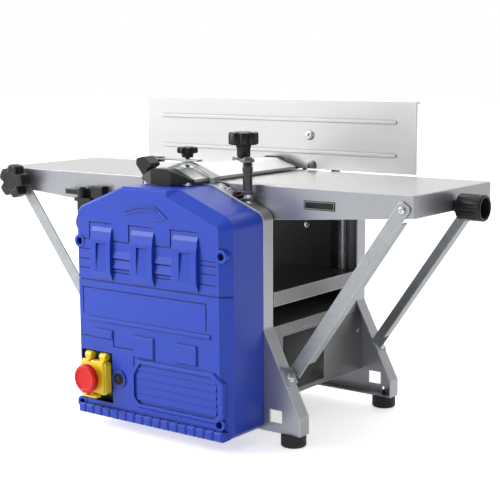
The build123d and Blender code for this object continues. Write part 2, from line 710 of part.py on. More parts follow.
def brace_bolts():
    """Pan-head bolts at both ends of the struts; the outfeed front one is the hand knob's own."""
    bolts = []
    lean = degrees(LEG_LEAN)
    for side in (-1, 1):
        for sign in (-1, 1):
            turn = Pos(side * BRACE_FOOT_X, sign * FOOT_Y, BRACE_FOOT_Z) * Rot(0, side * (90 - lean), 0)
            bolt = Pos(0, 0, -2.5) * Cylinder(3, 10) + Pos(0, 0, 3.9) * Cylinder(6, 3.2)
            nut = Pos(0, 0, -5) * extrude(RegularPolygon(5.5, 6), amount=2.8)
            bolts.append(turn * (bolt + nut))
            if side < 0 and sign < 0:
                continue
            x, z = BRACE_TOP[side]
            face = TABLE_WIDTH / 2 + 0.5 + BRACE_T
            head = rod_y(*sorted((sign * face, sign * (face + 3))), x, z, 5)
            shank = rod_y(*sorted((sign * (face - 11), sign * face)), x, z, 3)
            washer = rod_y(*sorted((sign * (face - 8.6), sign * (face - 6))), x, z, 7)
            bolts.append(head + shank + washer)
    return group(bolts)


def brace_clamp_knob():
    """Six-lobed hand knob whose screw clamps the outfeed strut to the skirt."""
    x, z = BRACE_TOP[-1]
    face = -(TABLE_WIDTH / 2 + 0.5 + BRACE_T)
    knob = along_minus_y(star(26, 19.5, 6, 18), x, face - 6, z)
    knob = fillet(knob.edges().filter_by(GeomType.CIRCLE).group_by(Axis.Y)[0], 1.5)
    hub = rod_y(face - 7, face - 0.3, x, z, 11)
    stud = rod_y(face - 4, -TABLE_WIDTH / 2 + 8, x, z, 3)
    return knob + hub + stud


# ---- depth knob ------------------------------------------------------------------------------------
def depth_knob():
    """Ribbed cup-shaped knob on the screw that sets the infeed table's height."""
    end = HEAD_X + TABLE_LENGTH / 2
    knob = rod_x(end + 7, end + 43, 0, KNOB_Z, 17.5)
    knob = chamfer(knob.edges().filter_by(GeomType.CIRCLE), 1.5)
    for i in range(12):
        a = 2 * pi * (i + 0.5) / 12
        knob -= rod_x(end + 6, end + 38, 18.6 * cos(a), KNOB_Z + 18.6 * sin(a), 2.4)
    knob -= rod_x(end + 20, end + 44, 0, KNOB_Z, 13.5)
    return knob + rod_x(end + 0.3, end + 8, 0, KNOB_Z, 8) + rod_x(end - 14, end + 1, 0, KNOB_Z, DEPTH_SCREW_R)


# ---- drive cover and its controls ---------------------------------------------------------------------
COVER_OUTLINE = mirrored([
    (46.9, 345.4), (COVER_HALF, 310.8), (COVER_HALF, COVER_BOTTOM + 6), (COVER_HALF - 6, COVER_BOTTOM)])


BEVEL_OUTLINE = [
    (46.9, 345.4), (COVER_HALF, 310.8), (COVER_HALF, COVER_BOTTOM - 40),
    (-COVER_HALF - 40, COVER_BOTTOM - 40), (-COVER_HALF - 40, 400), (46.9, 400)]


def bevelled_block(points, inset, front, bevel_x, bevel_y):
    """Closed block of an outline with rounded shoulders and its front edge bevelled."""
    face = polygon([(x, COVER_BACK, z) for x, z in points])
    shoulders = [v for v in face.vertices() if abs(abs(v.X) - COVER_HALF) < 1 and 300 < v.Z < 320]
    face = face.fillet_2d(COVER_SHOULDER_R, shoulders)
    base = Solid.extrude(face, Vector(0, front + bevel_y - COVER_BACK, 0))
    outline = base.faces().sort_by(Axis.Y)[0]
    if inset:
        outline = offset(Sketch() + outline, amount=-inset, kind=Kind.INTERSECTION).faces()[0]
        base = extrude(outline, amount=COVER_BACK - front - bevel_y, dir=(0, 1, 0))
    small = offset(Sketch() + outline, amount=-bevel_x, kind=Kind.INTERSECTION).faces()[0]
    tip = loft([outline, Pos(0, -bevel_y, 0) * small])
    return base + tip


def cover_blank(inset, trim):
    """The cover's block, moved in by inset, with both bevels narrowed by trim."""
    front = COVER_FRONT + inset
    fine = bevelled_block(COVER_OUTLINE, inset, front, COVER_EDGE - trim, COVER_EDGE - trim)
    broad = bevelled_block(BEVEL_OUTLINE, inset, front, COVER_BEVEL[0] - trim, COVER_BEVEL[1] - trim)
    return fine & broad


def rib(x0, x1, z0, z1, height, bevel=0.6):
    """A low raised pad on the cover's front face."""
    pad = block(x0, x1, COVER_FRONT - height, COVER_FRONT + 0.5, z0, z1)
    edges = pad.faces().sort_by(Axis.Y)[0].edges()
    return chamfer(edges, min(bevel, height * 0.6))


def groove(x0, x1, z0, z1, depth=1.5, extra=0.3):
    """A narrow channel in the cover's front face, a little wider than its line."""
    return block(x0 - extra, x1 + extra, COVER_FRONT - 0.01, COVER_FRONT + depth, z0 - extra, z1 + extra)


STRAP_XS = ((-103, -66), (-30, 10), (44, 86))
STRAP_Z = (214, 287)


def cover_straps():
    """Three raised straps with a sunken tongue and a wedge-shaped lower end."""
    shapes = []
    for x0, x1 in STRAP_XS:
        front = COVER_FRONT
        z0, z1 = STRAP_Z
        profile = [(front + 0.5, z0), (front - 1.0, z0), (front - 6.0, z0 + 11), (front - 6.0, z1 - 30),
                   (front - 5.0, z1 - 18), (front - 2.6, z1 - 6), (front - 0.3, z1), (front + 0.5, z1)]
        strap = prism_x(profile, x0, x1)
        middle = (x0 + x1) / 2 + 2
        tongue = [(front - 7, z0 + 12), (front - 6, z0 + 12), (front - 2.4, z1 - 22), (front - 7, z1 - 22)]
        strap -= prism_x(tongue, middle - 10, middle + 10)
        shapes.append(strap)
    return shapes


def vent_frame():
    """Raised eight-sided frame round a field of shallow louvres."""
    outer = [(-35, 90), (-21, 109), (110, 109), (127, 97), (127, 50), (116, 41), (-22, 41), (-35, 53)]
    inner = [(-29, 87), (-18, 103.5), (107, 103.5), (118.5, 94.5), (118.5, 53), (111, 46.5), (-19, 46.5),
             (-29, 55.5)]
    frame = prism_y(outer, COVER_FRONT - 3.2, COVER_FRONT + 9)
    frame = chamfer(frame.faces().sort_by(Axis.Y)[0].edges(), 1.8)
    frame -= prism_y(inner, COVER_FRONT - 4, COVER_FRONT)
    louvres = []
    for i in range(5):
        z = 52 + 10.6 * i
        profile = [(COVER_FRONT + 0.5, z), (COVER_FRONT - 2.0, z), (COVER_FRONT + 0.5, z + 9.5)]
        louvres.append(prism_x(profile, -24, 114))
    return frame, louvres


def cover_arrow():
    """Outline of a bent arrow that shows which way the cutterblock turns."""
    def bent(z, thick):
        path = []
        steps = 8
        for i in range(steps + 1):
            t = i / steps
            path.append((-43 + 58 * t, z + 9 * sin(pi * t * 0.62)))
        back = [(x, zz + thick) for x, zz in reversed(path)]
        return prism_y(path + back, COVER_FRONT - 1.2, COVER_FRONT + 0.5)
    head = [(12, 302), (34, 307), (13, 322), (13, 320), (28, 308), (12, 304)]
    return [bent(306, 1.6), bent(311.5, 1.6), prism_y(head, COVER_FRONT - 1.2, COVER_FRONT + 0.5)]


def drive_cover():
    """Moulded shell over the belts and chain, open at the back."""
    shell = cover_blank(0, 0)
    shell = fillet(shell.edges().filter_by(Axis.Y).sort_by(Axis.Z)[-2:], 5)
    shell += rib(-117, 105, 153, 159, 2.4, 1.2)
    for strap in cover_straps():
        shell += strap
    for (x0, x1), (nx0, nx1) in zip(STRAP_XS[:-1], STRAP_XS[1:]):
        for z in (232, 246):
            step = [(COVER_FRONT + 0.5, z), (COVER_FRONT - 2.4, z), (COVER_FRONT + 0.5, z + 12)]
            shell += prism_x(step, x1 - 1, nx0 + 1)
            shell -= groove(x1 + 0.3, nx0 - 0.3, z - 1.8, z - 0.3)
        shell -= groove(x1 + 2, nx0 - 2, 225.5, 226.3)
    for z in (227, 240, 254):
        shell -= groove(-129, -109, z, z + 0.9)
    for z in (225, 239, 250, 256):
        shell -= groove(90, 115, z, z + 0.9)
    for x0, x1, z0, z1 in ((-101, -68, 130, 143), (-30, 7, 111, 142), (47, 82, 114, 141)):
        shell += rib(x0, x1, z0, z1, 2.8, 1.4)
    frame, louvres = vent_frame()
    shell += frame
    for louvre in louvres:
        shell += louvre
    for piece in cover_arrow():
        shell += piece
    for i in range(17):
        x = -133 + 15.4 * i
        tooth = block(x, x + 13, COVER_FRONT - 6, COVER_FRONT + 8, COVER_BOTTOM - 1.5, 31.5)
        shell += chamfer(tooth.faces().sort_by(Axis.Y)[0].edges(), 2)
    bumper = block(-135, 128, COVER_FRONT - 4, COVER_FRONT + 14, COVER_BOTTOM - 0.5, 30.5)
    shell += rounded(bumper, Axis.Z, 3.5)
    for x, z in COVER_SCREWS:
        shell += rod_y(COVER_FRONT - 0.8, COVER_FRONT + 14, x, z, 9)
    seam = block(-140, 140, COVER_FRONT - 7, COVER_FRONT + 13, COVER_SEAM_Z - 1.1, COVER_SEAM_Z + 1.1)
    shell -= seam - cover_blank(1.6, 0.5)
    for x0, x1, z0, z1 in ((-124, 98, 199, 200.2), (97, 98.2, 164, 200.2), (-124, -122.8, 162, 200.2),
                           (-132, -67, 129.5, 130.7),
                           (-67, -31, 120, 121.2), (-68.2, -67, 120, 130.7), (-31, -29.8, 98, 121.2)):
        shell -= groove(x0, x1, z0, z1)
    for i, (x0, x1) in enumerate(STRAP_XS):
        left = -132 if i == 0 else STRAP_XS[i - 1][1] + 2
        shell -= groove(left, x0 - 6, 268, 269.4)
        shell -= groove(x0 - 6, x0 - 4.6, 268, 293)
        shell -= groove(x0 - 6, x1 - 2, 292, 293.4)
    shell -= cover_blank(COVER_WALL, 1.2)
    x0, x1, z0, z1 = SWITCH_WINDOW
    shell -= block(x0, x1, COVER_FRONT - 5, COVER_FRONT + 13, z0, z1)
    bezel = rod_y(COVER_FRONT - 2, COVER_FRONT + 2, OVERLOAD_X, OVERLOAD_Z, 12.5)
    shell += bezel
    shell -= rod_y(COVER_FRONT - 5, COVER_FRONT + 5, OVERLOAD_X, OVERLOAD_Z, 9.3)
    shell -= rod_x(-COVER_HALF - 2, -COVER_HALF + 5, FEED_KNOB_Y, FEED_KNOB_Z, 6 + RUN)
    for x, z in COVER_SCREWS:
        post = rod_y(COVER_FRONT + 2, COVER_BACK, x, z, 7.5)
        shell += post & cover_blank(1.0, 0.7)
        shell -= rod_y(COVER_FRONT - 3, COVER_FRONT + 9, x, z, 5.2)
        shell -= rod_y(COVER_FRONT, COVER_BACK + 1, x, z, 2.6)
    return shell


def case_screws():
    """Pan-head screws that hold the drive cover and the four feet."""
    screws = []
    for x, z in COVER_SCREWS:
        head = rod_y(COVER_FRONT + 5.5, COVER_FRONT + 9, x, z, 4.8)
        screws.append(head + rod_y(COVER_FRONT + 9, COVER_BACK, x, z, 2.6))
    for x in (-FOOT_X, FOOT_X):
        for y in (-FOOT_Y, FOOT_Y):
            screws.append(rod_z(4, 7, x, y, 5.6) + rod_z(6, PLATE_BOTTOM + 8, x, y, 3))
    return group(screws)


def feed_knob():
    """Round knob on the cover's left side that engages the power feed."""
    knob = rod_x(-COVER_HALF - 30, -COVER_HALF - 0.4, FEED_KNOB_Y, FEED_KNOB_Z, 18)
    knob = fillet(knob.edges().filter_by(GeomType.CIRCLE).sort_by(Axis.X)[0], 4)
    for i in range(10):
        a = 2 * pi * i / 10
        y, z = FEED_KNOB_Y + 19 * cos(a), FEED_KNOB_Z + 19 * sin(a)
        knob -= rod_x(-COVER_HALF - 31, -COVER_HALF - 8, y, z, 2.4)
    return knob + rod_x(-COVER_HALF - 1, -COVER_HALF + 12, FEED_KNOB_Y, FEED_KNOB_Z, 6)


def switch_body():
    """Black mounting plate and yellow-fronted case of the switch, behind its flap."""
    x0, x1, z0, z1 = SWITCH_WINDOW
    plate = block(x0 - 1, x1 + 2, COVER_FRONT + 14, COVER_FRONT + 17, z0 - 2, z1 + 2)
    for sx, sz in COVER_SCREWS:
        plate -= rod_y(COVER_FRONT, COVER_FRONT + 20, sx, sz, 9.4)
    case = block(x0 + 5, x1 - 5, COVER_FRONT + 6, COVER_FRONT + 34, z0 + 14, z1 - 14)
    case -= rod_y(COVER_FRONT + 5, COVER_FRONT + 13, START_X, START_Z, 7.3)
    return plate + case


def switch_flap():
    """Yellow hinged lid with two hinge loops on top and a pull tab below."""
    x0, x1, z0, z1 = SWITCH_WINDOW
    y_back, y_front = COVER_FRONT + 2.6, FLAP_FRONT
    lid = block(x0 + 4, x1 - 3, y_front, y_back, z0 + 12, z1 - 13)
    lid = fillet(lid.edges().filter_by(Axis.Z), 3)
    lid -= block(x0 + 7, x1 - 6, y_front + 3, y_back + 1, z0 + 15, z1 - 16)
    for x in (-113, -86):
        lid += rod_x(x - 6, x + 6, FLAP_HINGE_Y, FLAP_HINGE_Z, 5.5)
        lid += block(x - 6, x + 6, FLAP_HINGE_Y - 5.5, FLAP_HINGE_Y, z1 - 15, FLAP_HINGE_Z)
    tab = block(-116, -86, y_front - 5, y_front + 8, z0 + 8, z0 + 12.5)
    lid += fillet(tab.edges().filter_by(Axis.Z), 3)
    return lid - rod_y(y_front - 1, y_front + 4, STOP_X, STOP_Z, 8.3)


def stop_mushroom():
    """Red mushroom-head stop button in the flap."""
    y = FLAP_FRONT
    head = rod_y(y - 16, y - 7, STOP_X, STOP_Z, 20.3)
    head = fillet(head.edges().filter_by(GeomType.CIRCLE).sort_by(Axis.Y)[0], 4)
    return head + rod_y(y - 8, y + 5, STOP_X, STOP_Z, 8)


def start_key():
    return rod_y(COVER_FRONT + 3.5, COVER_FRONT + 9.5, START_X, START_Z, 7)


def overload_button():
    return rod_y(COVER_FRONT - 3.5, COVER_FRONT + 8, OVERLOAD_X, OVERLOAD_Z, 5) + rod_y(
        COVER_FRONT + 3, COVER_FRONT + 8, OVERLOAD_X, OVERLOAD_Z, 8.8)


# ---- fence --------------------------------------------------------------------------------------------
def fence_panel():
    """Upright aluminium fence with two raised beads along it and a folded top edge."""
    half = FENCE_LENGTH / 2
    z0, z1 = FENCE_Z
    panel = block(FENCE_X - half, FENCE_X + half, FENCE_Y, FENCE_Y + FENCE_T, z0, z1)
    panel += block(FENCE_X - half, FENCE_X + half, FENCE_Y + 1, FENCE_Y + 12, z1 - 3, z1)
    for z in (424.0, 376.0):
        bead = extrude(SlotCenterToCenter(2 * half - 68, 4.6), amount=1.7)
        panel += Pos(FENCE_X, FENCE_Y, z) * Rot(90, 0, 0) * bead
    for x, z, _ in FENCE_BOLTS:
        panel -= rod_y(FENCE_Y - 2, FENCE_Y + 6, x, z, 3.2)
    return panel


def fence_bolts():
    bolts = []
    for x, z, r in FENCE_BOLTS:
        dome = rod_y(FENCE_Y - 2.6, FENCE_Y, x, z, r)
        dome = fillet(dome.edges().filter_by(GeomType.CIRCLE).sort_by(Axis.Y)[0], 1.8)
        bolts.append(dome + rod_y(FENCE_Y, FENCE_Y + 5.5, x, z, 3))
    return group(bolts)


def fence_tilt_arms():
    """Folded bracket on the fence's back: two lugs on the hinge pin, the right one with the lock's slot."""
    y0 = FENCE_Y + FENCE_T
    arms = block(30, 70, y0, y0 + 3, 351, 412)
    for x, z, _ in FENCE_BOLTS:
        arms -= rod_y(y0 - 2, y0 + 6, x, z, 3.05)
    arms += prism_x([(y0, 351), (y0, 366), (118, 366), (123, 358), (122, 352.5), (119, 351.5), (113, 351)],
                    30, 33)
    arms += prism_x([(y0, 351), (y0, 408), (121, 408), (156, 376), (159, 366), (156, 360), (119, 351.5),
                     (113, 351)], 67, 70)
    arms -= rod_x(29, 71, TILT_Y, TILT_Z, 3 + RUN)
    reach = hypot(LOCK_Y - TILT_Y, LOCK_Z - TILT_Z)
    start = atan2(LOCK_Z - TILT_Z, LOCK_Y - TILT_Y)
    steps = 12
    for i in range(steps + 1):
        a = start + radians(TILT_RANGE) * i / steps
        arms -= rod_x(66, 71, TILT_Y + reach * cos(a), TILT_Z + reach * sin(a), 3.3)
    return arms


def fence_bracket():
    """Bracket on the rear plate: two ears carry the hinge pin, the right one also the lock screw."""
    y1 = PLATE_Y + 3
    back = block(20, 80, PLATE_Y, y1, 270, 352)
    back -= block(27, 73, PLATE_Y - 1, y1 + 1, 336, 353)
    for x in (35, 65):
        back -= rod_y(PLATE_Y - 1, y1 + 2, x, 285, 3.2)
    back += prism_x([(112.3, 349.3), (y1, 349.3), (y1, 352), (122, 360), (112.3, 356)], 23, 26)
    ear = prism_x([(112.3, 349.3), (PLATE_Y, 349.3), (PLATE_Y, 344), (146, 344), (160, 358), (160, 374),
                   (150, 379), (112.3, 356)], 74, 77)
    back += ear - rod_x(73, 78, LOCK_Y, LOCK_Z, 3 + RUN)
    return back + rod_x(22, 78, TILT_Y, TILT_Z, 3)


def fence_lock_knob():
    """Hand knob whose screw clamps the slotted lug against the ear."""
    knob = Pos(84, LOCK_Y, LOCK_Z) * Rot(0, 90, 0) * star(17, 12.5, 6, 12)
    return knob + rod_x(77.3, 85, LOCK_Y, LOCK_Z, 7) + rod_x(60, 80, LOCK_Y, LOCK_Z, 3)


# ---- cutterblock guard ------------------------------------------------------------------------------------
def crown(grow):
    """Right half of the guard's section and its mirror, about X = 0."""
    return mirrored([(10 + grow, GUARD_CROWN + grow), (GUARD_HALF + grow, GUARD_BASE + 4),
                     (GUARD_HALF + grow, GUARD_BASE)])


def guard_blade():
    """Crowned aluminium strip over the cutterblock."""
    outer = prism_y([(GUARD_X + x, z) for x, z in crown(0)], *GUARD_Y)
    inner = prism_y([(GUARD_X + x, z) for x, z in mirrored(
        [(9.4, GUARD_CROWN - 2), (GUARD_HALF - 2, GUARD_BASE + 2.8), (GUARD_HALF - 2, GUARD_BASE - 1)])],
        GUARD_Y[0] - 1, GUARD_Y[1] + 1)
    return outer - inner


def guard_end_caps():
    caps = []
    for end, way, nose in ((GUARD_Y[0], -1, 18.0), (GUARD_Y[1], 1, 5.0)):
        tip = end + way * nose
        cap = prism_y([(GUARD_X + x, z) for x, z in crown(2.0)], *sorted((end, tip)))
        if way < 0:
            sole = mirrored([(GUARD_HALF + 2, GUARD_BASE), (16, GUARD_BASE - 4.4)])
            cap += prism_y([(GUARD_X + x, z) for x, z in sole], tip, end)
        plan = mirrored([(GUARD_HALF + 3, end), (GUARD_HALF + 2, end + way * nose * 0.3), (18, tip)])
        caps.append(cap & prism_z([(GUARD_X + x, y) for x, y in plan], GUARD_BASE - 8, GUARD_CROWN + 4))
    return group(caps)


def guard_bracket():
    """Strap bent over the guard, with a nut for the clamp screw and a round post into the frame."""
    y0, y1 = CLAMP_Y - 5.5, CLAMP_Y + 5.5
    reach = POST_X - GUARD_X
    outer = mirrored([(11, GUARD_CROWN + 6.5), (reach + 4, GUARD_BASE + 5.5), (reach + 4, GUARD_BASE)])
    inner = mirrored([(10.3, GUARD_CROWN + 3.5), (reach - 4.5, GUARD_BASE + 5),
                      (reach - 4.5, GUARD_BASE - 1)])
    strap = prism_y([(GUARD_X + x, z) for x, z in outer], y0, y1)
    strap -= prism_y([(GUARD_X + x, z) for x, z in inner], y0 - 1, y1 + 1)
    strap += rod_z(GUARD_CROWN + 6, GUARD_CROWN + 9, GUARD_X, CLAMP_Y, 8)
    strap += block(GUARD_X - 64, GUARD_X + 22, CLAMP_Y - 6, CLAMP_Y + 6, GUARD_CROWN + 8.5, GUARD_CROWN + 11)
    strap -= rod_z(GUARD_CROWN, GUARD_CROWN + 13, GUARD_X, CLAMP_Y, 3 + RUN)
    return strap + rod_z(262, GUARD_BASE + 5, POST_X, -SPINDLE_Y, GUARD_POST_R)


def guard_knob():
    z = GUARD_CROWN + 11.5
    knob = rod_z(z, z + 9, GUARD_X, CLAMP_Y, 6.5)
    knob += Pos(GUARD_X, CLAMP_Y, z + 8) * star(14.5, 10.8, 7, 8.5)
    return knob + rod_z(GUARD_CROWN + 0.5, z + 1, GUARD_X, CLAMP_Y, 3)


def guard_latch():
    """Black thumb lever hinged on the guard's left edge."""
    x, z = LATCH_PIN
    side = [(x + 1, z - 1.5), (x - 5, z - 1), (x - 20, z + 17), (x - 19, z + 25), (x - 6, z + 28.5),
            (x + 7, z + 19), (x + 7, z + 15.5), (x - 1, z + 11), (x + 1, z + 6)]
    lever = prism_y(side, -146, -126)
    return chamfer(lever.edges().filter_by(Axis.Y), 1.0) + rod_y(-146, -126, x, z, 2.2)


# ---- feet and inlet ------------------------------------------------------------------------------------
def rubber_feet():
    feet = []
    for x in (-FOOT_X, FOOT_X):
        for y in (-FOOT_Y, FOOT_Y):
            foot = rod_z(0, PLATE_BOTTOM, x, y, FOOT_R)
            foot = fillet(foot.edges().filter_by(GeomType.CIRCLE).sort_by(Axis.Z)[0], 2.5)
            foot -= rod_z(-1, 7, x, y, 6)
            feet.append(foot - rod_z(5, PLATE_BOTTOM + 1, x, y, 3.1))
    return group(feet)


def cable_gland():
    """Open gland for the mains lead, low on the rear plate."""
    gland = rod_y(PLATE_Y, PLATE_Y + 4, -80, 70, 12) + rod_y(PLATE_Y + 4, PLATE_Y + 18, -80, 70, 9)
    return gland - rod_y(PLATE_Y + 2, PLATE_Y + 20, -80, 70, 4.5)


PARTS = [
    front_side_plate, rear_side_plate, base_shell, chamber_liners, motor_housing, bearing_housings,
    cutter_bearings, roller_bushes, kickback_shaft, drive_belts, feed_chain, lift_chain,
    drive_cover, case_screws, switch_body, outfeed_table, outfeed_latch_block, infeed_braces,
    outfeed_braces, brace_bolts, rubber_feet, fence_bracket, cable_gland,
    motor_shaft, motor_pulley, cutterblock, planer_knives, knife_gibs, cutter_pulley,
    infeed_roller, outfeed_roller, countershaft_pulley, kickback_fingers,
    thicknessing_table, lift_nuts, spindle_front_right, spindle_rear_right, spindle_front_left,
    spindle_rear_left, crank_shaft, crank_arm, crank_grip, infeed_table, depth_knob,
    brace_clamp_knob, outfeed_latch_lever, feed_knob, switch_flap, stop_mushroom, start_key,
    overload_button, fence_panel, fence_bolts, fence_tilt_arms, fence_lock_knob,
    guard_bracket, guard_blade, guard_end_caps, guard_knob, guard_latch,
]

os.makedirs("parts", exist_ok=True)
for make in PARTS:
    export_step(make(), f"parts/{make.__name__}.step")
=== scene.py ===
"""Looks of the bench planer-thicknesser: finishes, fine meshes, studio and camera.

Shapes are written in millimetres of the row frame and scaled to metres once, in piece().
"""

from math import atan2, cos, hypot, pi, radians, sin

import bmesh
import bpy
from mathutils import Matrix, Vector


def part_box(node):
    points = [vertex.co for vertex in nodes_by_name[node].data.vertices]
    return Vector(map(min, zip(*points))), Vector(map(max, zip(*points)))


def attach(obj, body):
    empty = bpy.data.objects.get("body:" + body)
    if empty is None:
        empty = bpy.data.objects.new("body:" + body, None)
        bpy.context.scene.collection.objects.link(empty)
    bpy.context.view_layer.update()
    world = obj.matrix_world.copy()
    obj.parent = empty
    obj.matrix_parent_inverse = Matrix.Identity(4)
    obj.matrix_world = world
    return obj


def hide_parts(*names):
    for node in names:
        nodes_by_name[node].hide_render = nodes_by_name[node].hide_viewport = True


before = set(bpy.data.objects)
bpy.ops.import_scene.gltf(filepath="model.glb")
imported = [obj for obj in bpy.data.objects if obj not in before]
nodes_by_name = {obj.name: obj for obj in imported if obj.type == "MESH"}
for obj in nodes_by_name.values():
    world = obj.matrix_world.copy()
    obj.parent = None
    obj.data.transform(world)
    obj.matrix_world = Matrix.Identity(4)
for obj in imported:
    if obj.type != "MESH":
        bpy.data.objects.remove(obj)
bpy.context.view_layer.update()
scene = bpy.context.scene
MM = 0.001


# ---- shader nodes -------------------------------------------------------------------------------
def add_node(tree, kind, **settings):
    made = tree.nodes.new(kind)
    for key, value in settings.items():
        setattr(made, key, value)
    return made


def remap(tree, value, low, high, to_low, to_high):
    """Stretch a value from one range to another, held at both ends."""
    made = add_node(tree, "ShaderNodeMapRange")
    made.inputs["From Min"].default_value = low
    made.inputs["From Max"].default_value = high
    made.inputs["To Min"].default_value = to_low
    made.inputs["To Max"].default_value = to_high
    tree.links.new(value, made.inputs["Value"])
    return made.outputs["Result"]


def combine(tree, operation, first, second):
    made = add_node(tree, "ShaderNodeMath", operation=operation)
    tree.links.new(first, made.inputs[0])
    tree.links.new(second, made.inputs[1])
    return made.outputs[0]


# ---- finishes -----------------------------------------------------------------------------------
class Finish:
    """A material: a tone that drifts, optional streaks or spangle, grain, and edges tinted partly
    by wear and partly by painted light.
    """

    def __init__(self, name, color, rough, metallic=0.0, **sockets):
        self.material = bpy.data.materials.new(name)
        self.material.use_nodes = True
        self.tree = self.material.node_tree
        self.shader = self.tree.nodes["Principled BSDF"]
        self.shader.inputs["Metallic"].default_value = metallic
        for socket, value in sockets.items():
            self.shader.inputs[socket.replace("_", " ")].default_value = value
        self.place = self.node("ShaderNodeTexCoord").outputs["Object"]
        self.color = self.constant(color)
        self.rough = rough
        self.normal = None

    def node(self, kind, **settings):
        return add_node(self.tree, kind, **settings)

    def join(self, source, target):
        self.tree.links.new(source, target)

    def constant(self, color):
        made = self.node("ShaderNodeRGB")
        made.outputs[0].default_value = (*color, 1)
        return made.outputs[0]

    def stretched(self, stretch):
        made = self.node("ShaderNodeMapping")
        made.inputs["Scale"].default_value = stretch
        self.join(self.place, made.inputs["Vector"])
        return made.outputs["Vector"]

    def noise(self, scale, detail=3.0, stretch=(1, 1, 1)):
        made = self.node("ShaderNodeTexNoise")
        made.inputs["Scale"].default_value = scale
        made.inputs["Detail"].default_value = detail
        self.join(self.stretched(stretch), made.inputs["Vector"])
        return made.outputs["Fac"]

    def span(self, value, low, high, to_low=0.0, to_high=1.0):
        return remap(self.tree, value, low, high, to_low, to_high)

    def tint(self, mask, color):
        """Blend the colour so far towards another one where mask is 1."""
        made = self.node("ShaderNodeMix", data_type="RGBA")
        self.join(mask, made.inputs["Factor"])
        self.join(self.color, made.inputs["A"])
        made.inputs["B"].default_value = (*color, 1)
        self.color = made.outputs["Result"]

    def drift(self, scale, color, reach=0.6, stretch=(1, 1, 1), detail=3.0):
        """Patches or streaks of a second tone."""
        self.tint(self.span(self.noise(scale, detail, stretch), 0.3, 0.75, 0.0, reach), color)

    def spangle(self, scale, color, reach):
        """Zinc crystals: flat cells of slightly different brightness."""
        cells = self.node("ShaderNodeTexVoronoi")
        cells.inputs["Scale"].default_value = scale
        self.join(self.place, cells.inputs["Vector"])
        split = self.node("ShaderNodeSeparateColor")
        self.join(cells.outputs["Color"], split.inputs["Color"])
        self.tint(self.span(split.outputs[0], 0, 1, 0, reach), color)

    def facing_up(self, color, rough):
        """A second colour and roughness on faces that look up."""
        split = self.node("ShaderNodeSeparateXYZ")
        self.join(self.node("ShaderNodeNewGeometry").outputs["Normal"], split.inputs[0])
        mask = self.span(split.outputs["Z"], 0.9, 0.98)
        self.tint(mask, color)
        mix = self.node("ShaderNodeMix", data_type="FLOAT")
        self.join(mask, mix.inputs["Factor"])
        mix.inputs["A"].default_value = self.rough
        mix.inputs["B"].default_value = rough
        self.join(mix.outputs["Result"], self.shader.inputs["Roughness"])
        self.rough = None

    def edge_wear_and_painted_light(self, radius, color, reach=0.6, painted_highlight=False):
        """Soft corners tinted towards a second tone: partly wear, partly a painted highlight where
        the tone is lighter and painted shade where it is darker; the flagged ones also turn less
        metallic at the corners, which paints a bright highlight line.
        """
        soft = self.node("ShaderNodeBevel", samples=4)
        soft.inputs["Radius"].default_value = radius * MM
        self.normal = soft.outputs["Normal"]
        flat = self.node("ShaderNodeNewGeometry")
        dot = self.node("ShaderNodeVectorMath", operation="DOT_PRODUCT")
        self.join(self.normal, dot.inputs[0])
        self.join(flat.outputs["Normal"], dot.inputs[1])
        turning = self.span(dot.outputs["Value"], 0.99, 0.9 if painted_highlight else 0.8, 0.0, reach)
        self.tint(turning, color)
        if painted_highlight:
            metallic = self.shader.inputs["Metallic"]
            self.join(self.span(turning, 0, 1, metallic.default_value, 0.1), metallic)

    def shaded_creases(self, reach_mm, color, amount=0.85):
        """Painted shade: a darker tone in grooves and against raised ribs, where shade falls."""
        shade = self.node("ShaderNodeAmbientOcclusion", samples=8, only_local=True)
        shade.inputs["Distance"].default_value = reach_mm * MM
        self.tint(self.span(shade.outputs["AO"], 0.92, 0.45, 0.0, amount), color)

    def grain(self, scale, strength, distance, stretch=(1, 1, 1), detail=2.0):
        """Fine relief, and the roughness that goes with it."""
        relief = self.noise(scale, detail, stretch)
        bump = self.node("ShaderNodeBump")
        bump.inputs["Strength"].default_value = strength
        bump.inputs["Distance"].default_value = distance * MM
        self.join(relief, bump.inputs["Height"])
        if self.normal:
            self.join(self.normal, bump.inputs["Normal"])
        self.normal = bump.outputs["Normal"]
        if self.rough is not None:
            self.join(self.span(relief, 0.3, 0.7, self.rough * 0.85, self.rough * 1.15),
                      self.shader.inputs["Roughness"])

    def done(self):
        self.join(self.color, self.shader.inputs["Base Color"])
        if self.normal:
            self.join(self.normal, self.shader.inputs["Normal"])
        return self.material


# Lighter edge tones in these finishes are partly wear and partly a painted highlight along the
# corners.
def silver_paint():
    look = Finish("silver_paint", (0.40, 0.41, 0.44), 0.36, 0.75,
                  Coat_Weight=0.15, Coat_Roughness=0.2)
    look.drift(9, (0.34, 0.35, 0.385), 0.5)
    look.drift(1400, (0.56, 0.57, 0.60), 0.35)
    # Painted highlight: a near-white line along the plates' folded edges.
    look.edge_wear_and_painted_light(2.4, (0.97, 0.97, 0.98), 1.0, painted_highlight=True)
    look.grain(900, 0.15, 0.05)
    return look.done()


def table_paint():
    look = Finish("table_paint", (0.34, 0.35, 0.38), 0.34, 0.75,
                  Coat_Weight=0.1, Coat_Roughness=0.2)
    look.drift(7, (0.29, 0.30, 0.335), 0.5)
    look.facing_up((0.35, 0.35, 0.345), 0.36)
    look.drift(60, (0.50, 0.50, 0.51), 0.3, stretch=(0.15, 6, 0.15))
    # Painted highlight: a near-white line along the table's corners.
    look.edge_wear_and_painted_light(1.9, (0.95, 0.95, 0.96), 0.9, painted_highlight=True)
    look.grain(700, 0.12, 0.05, stretch=(0.4, 2, 1))
    return look.done()


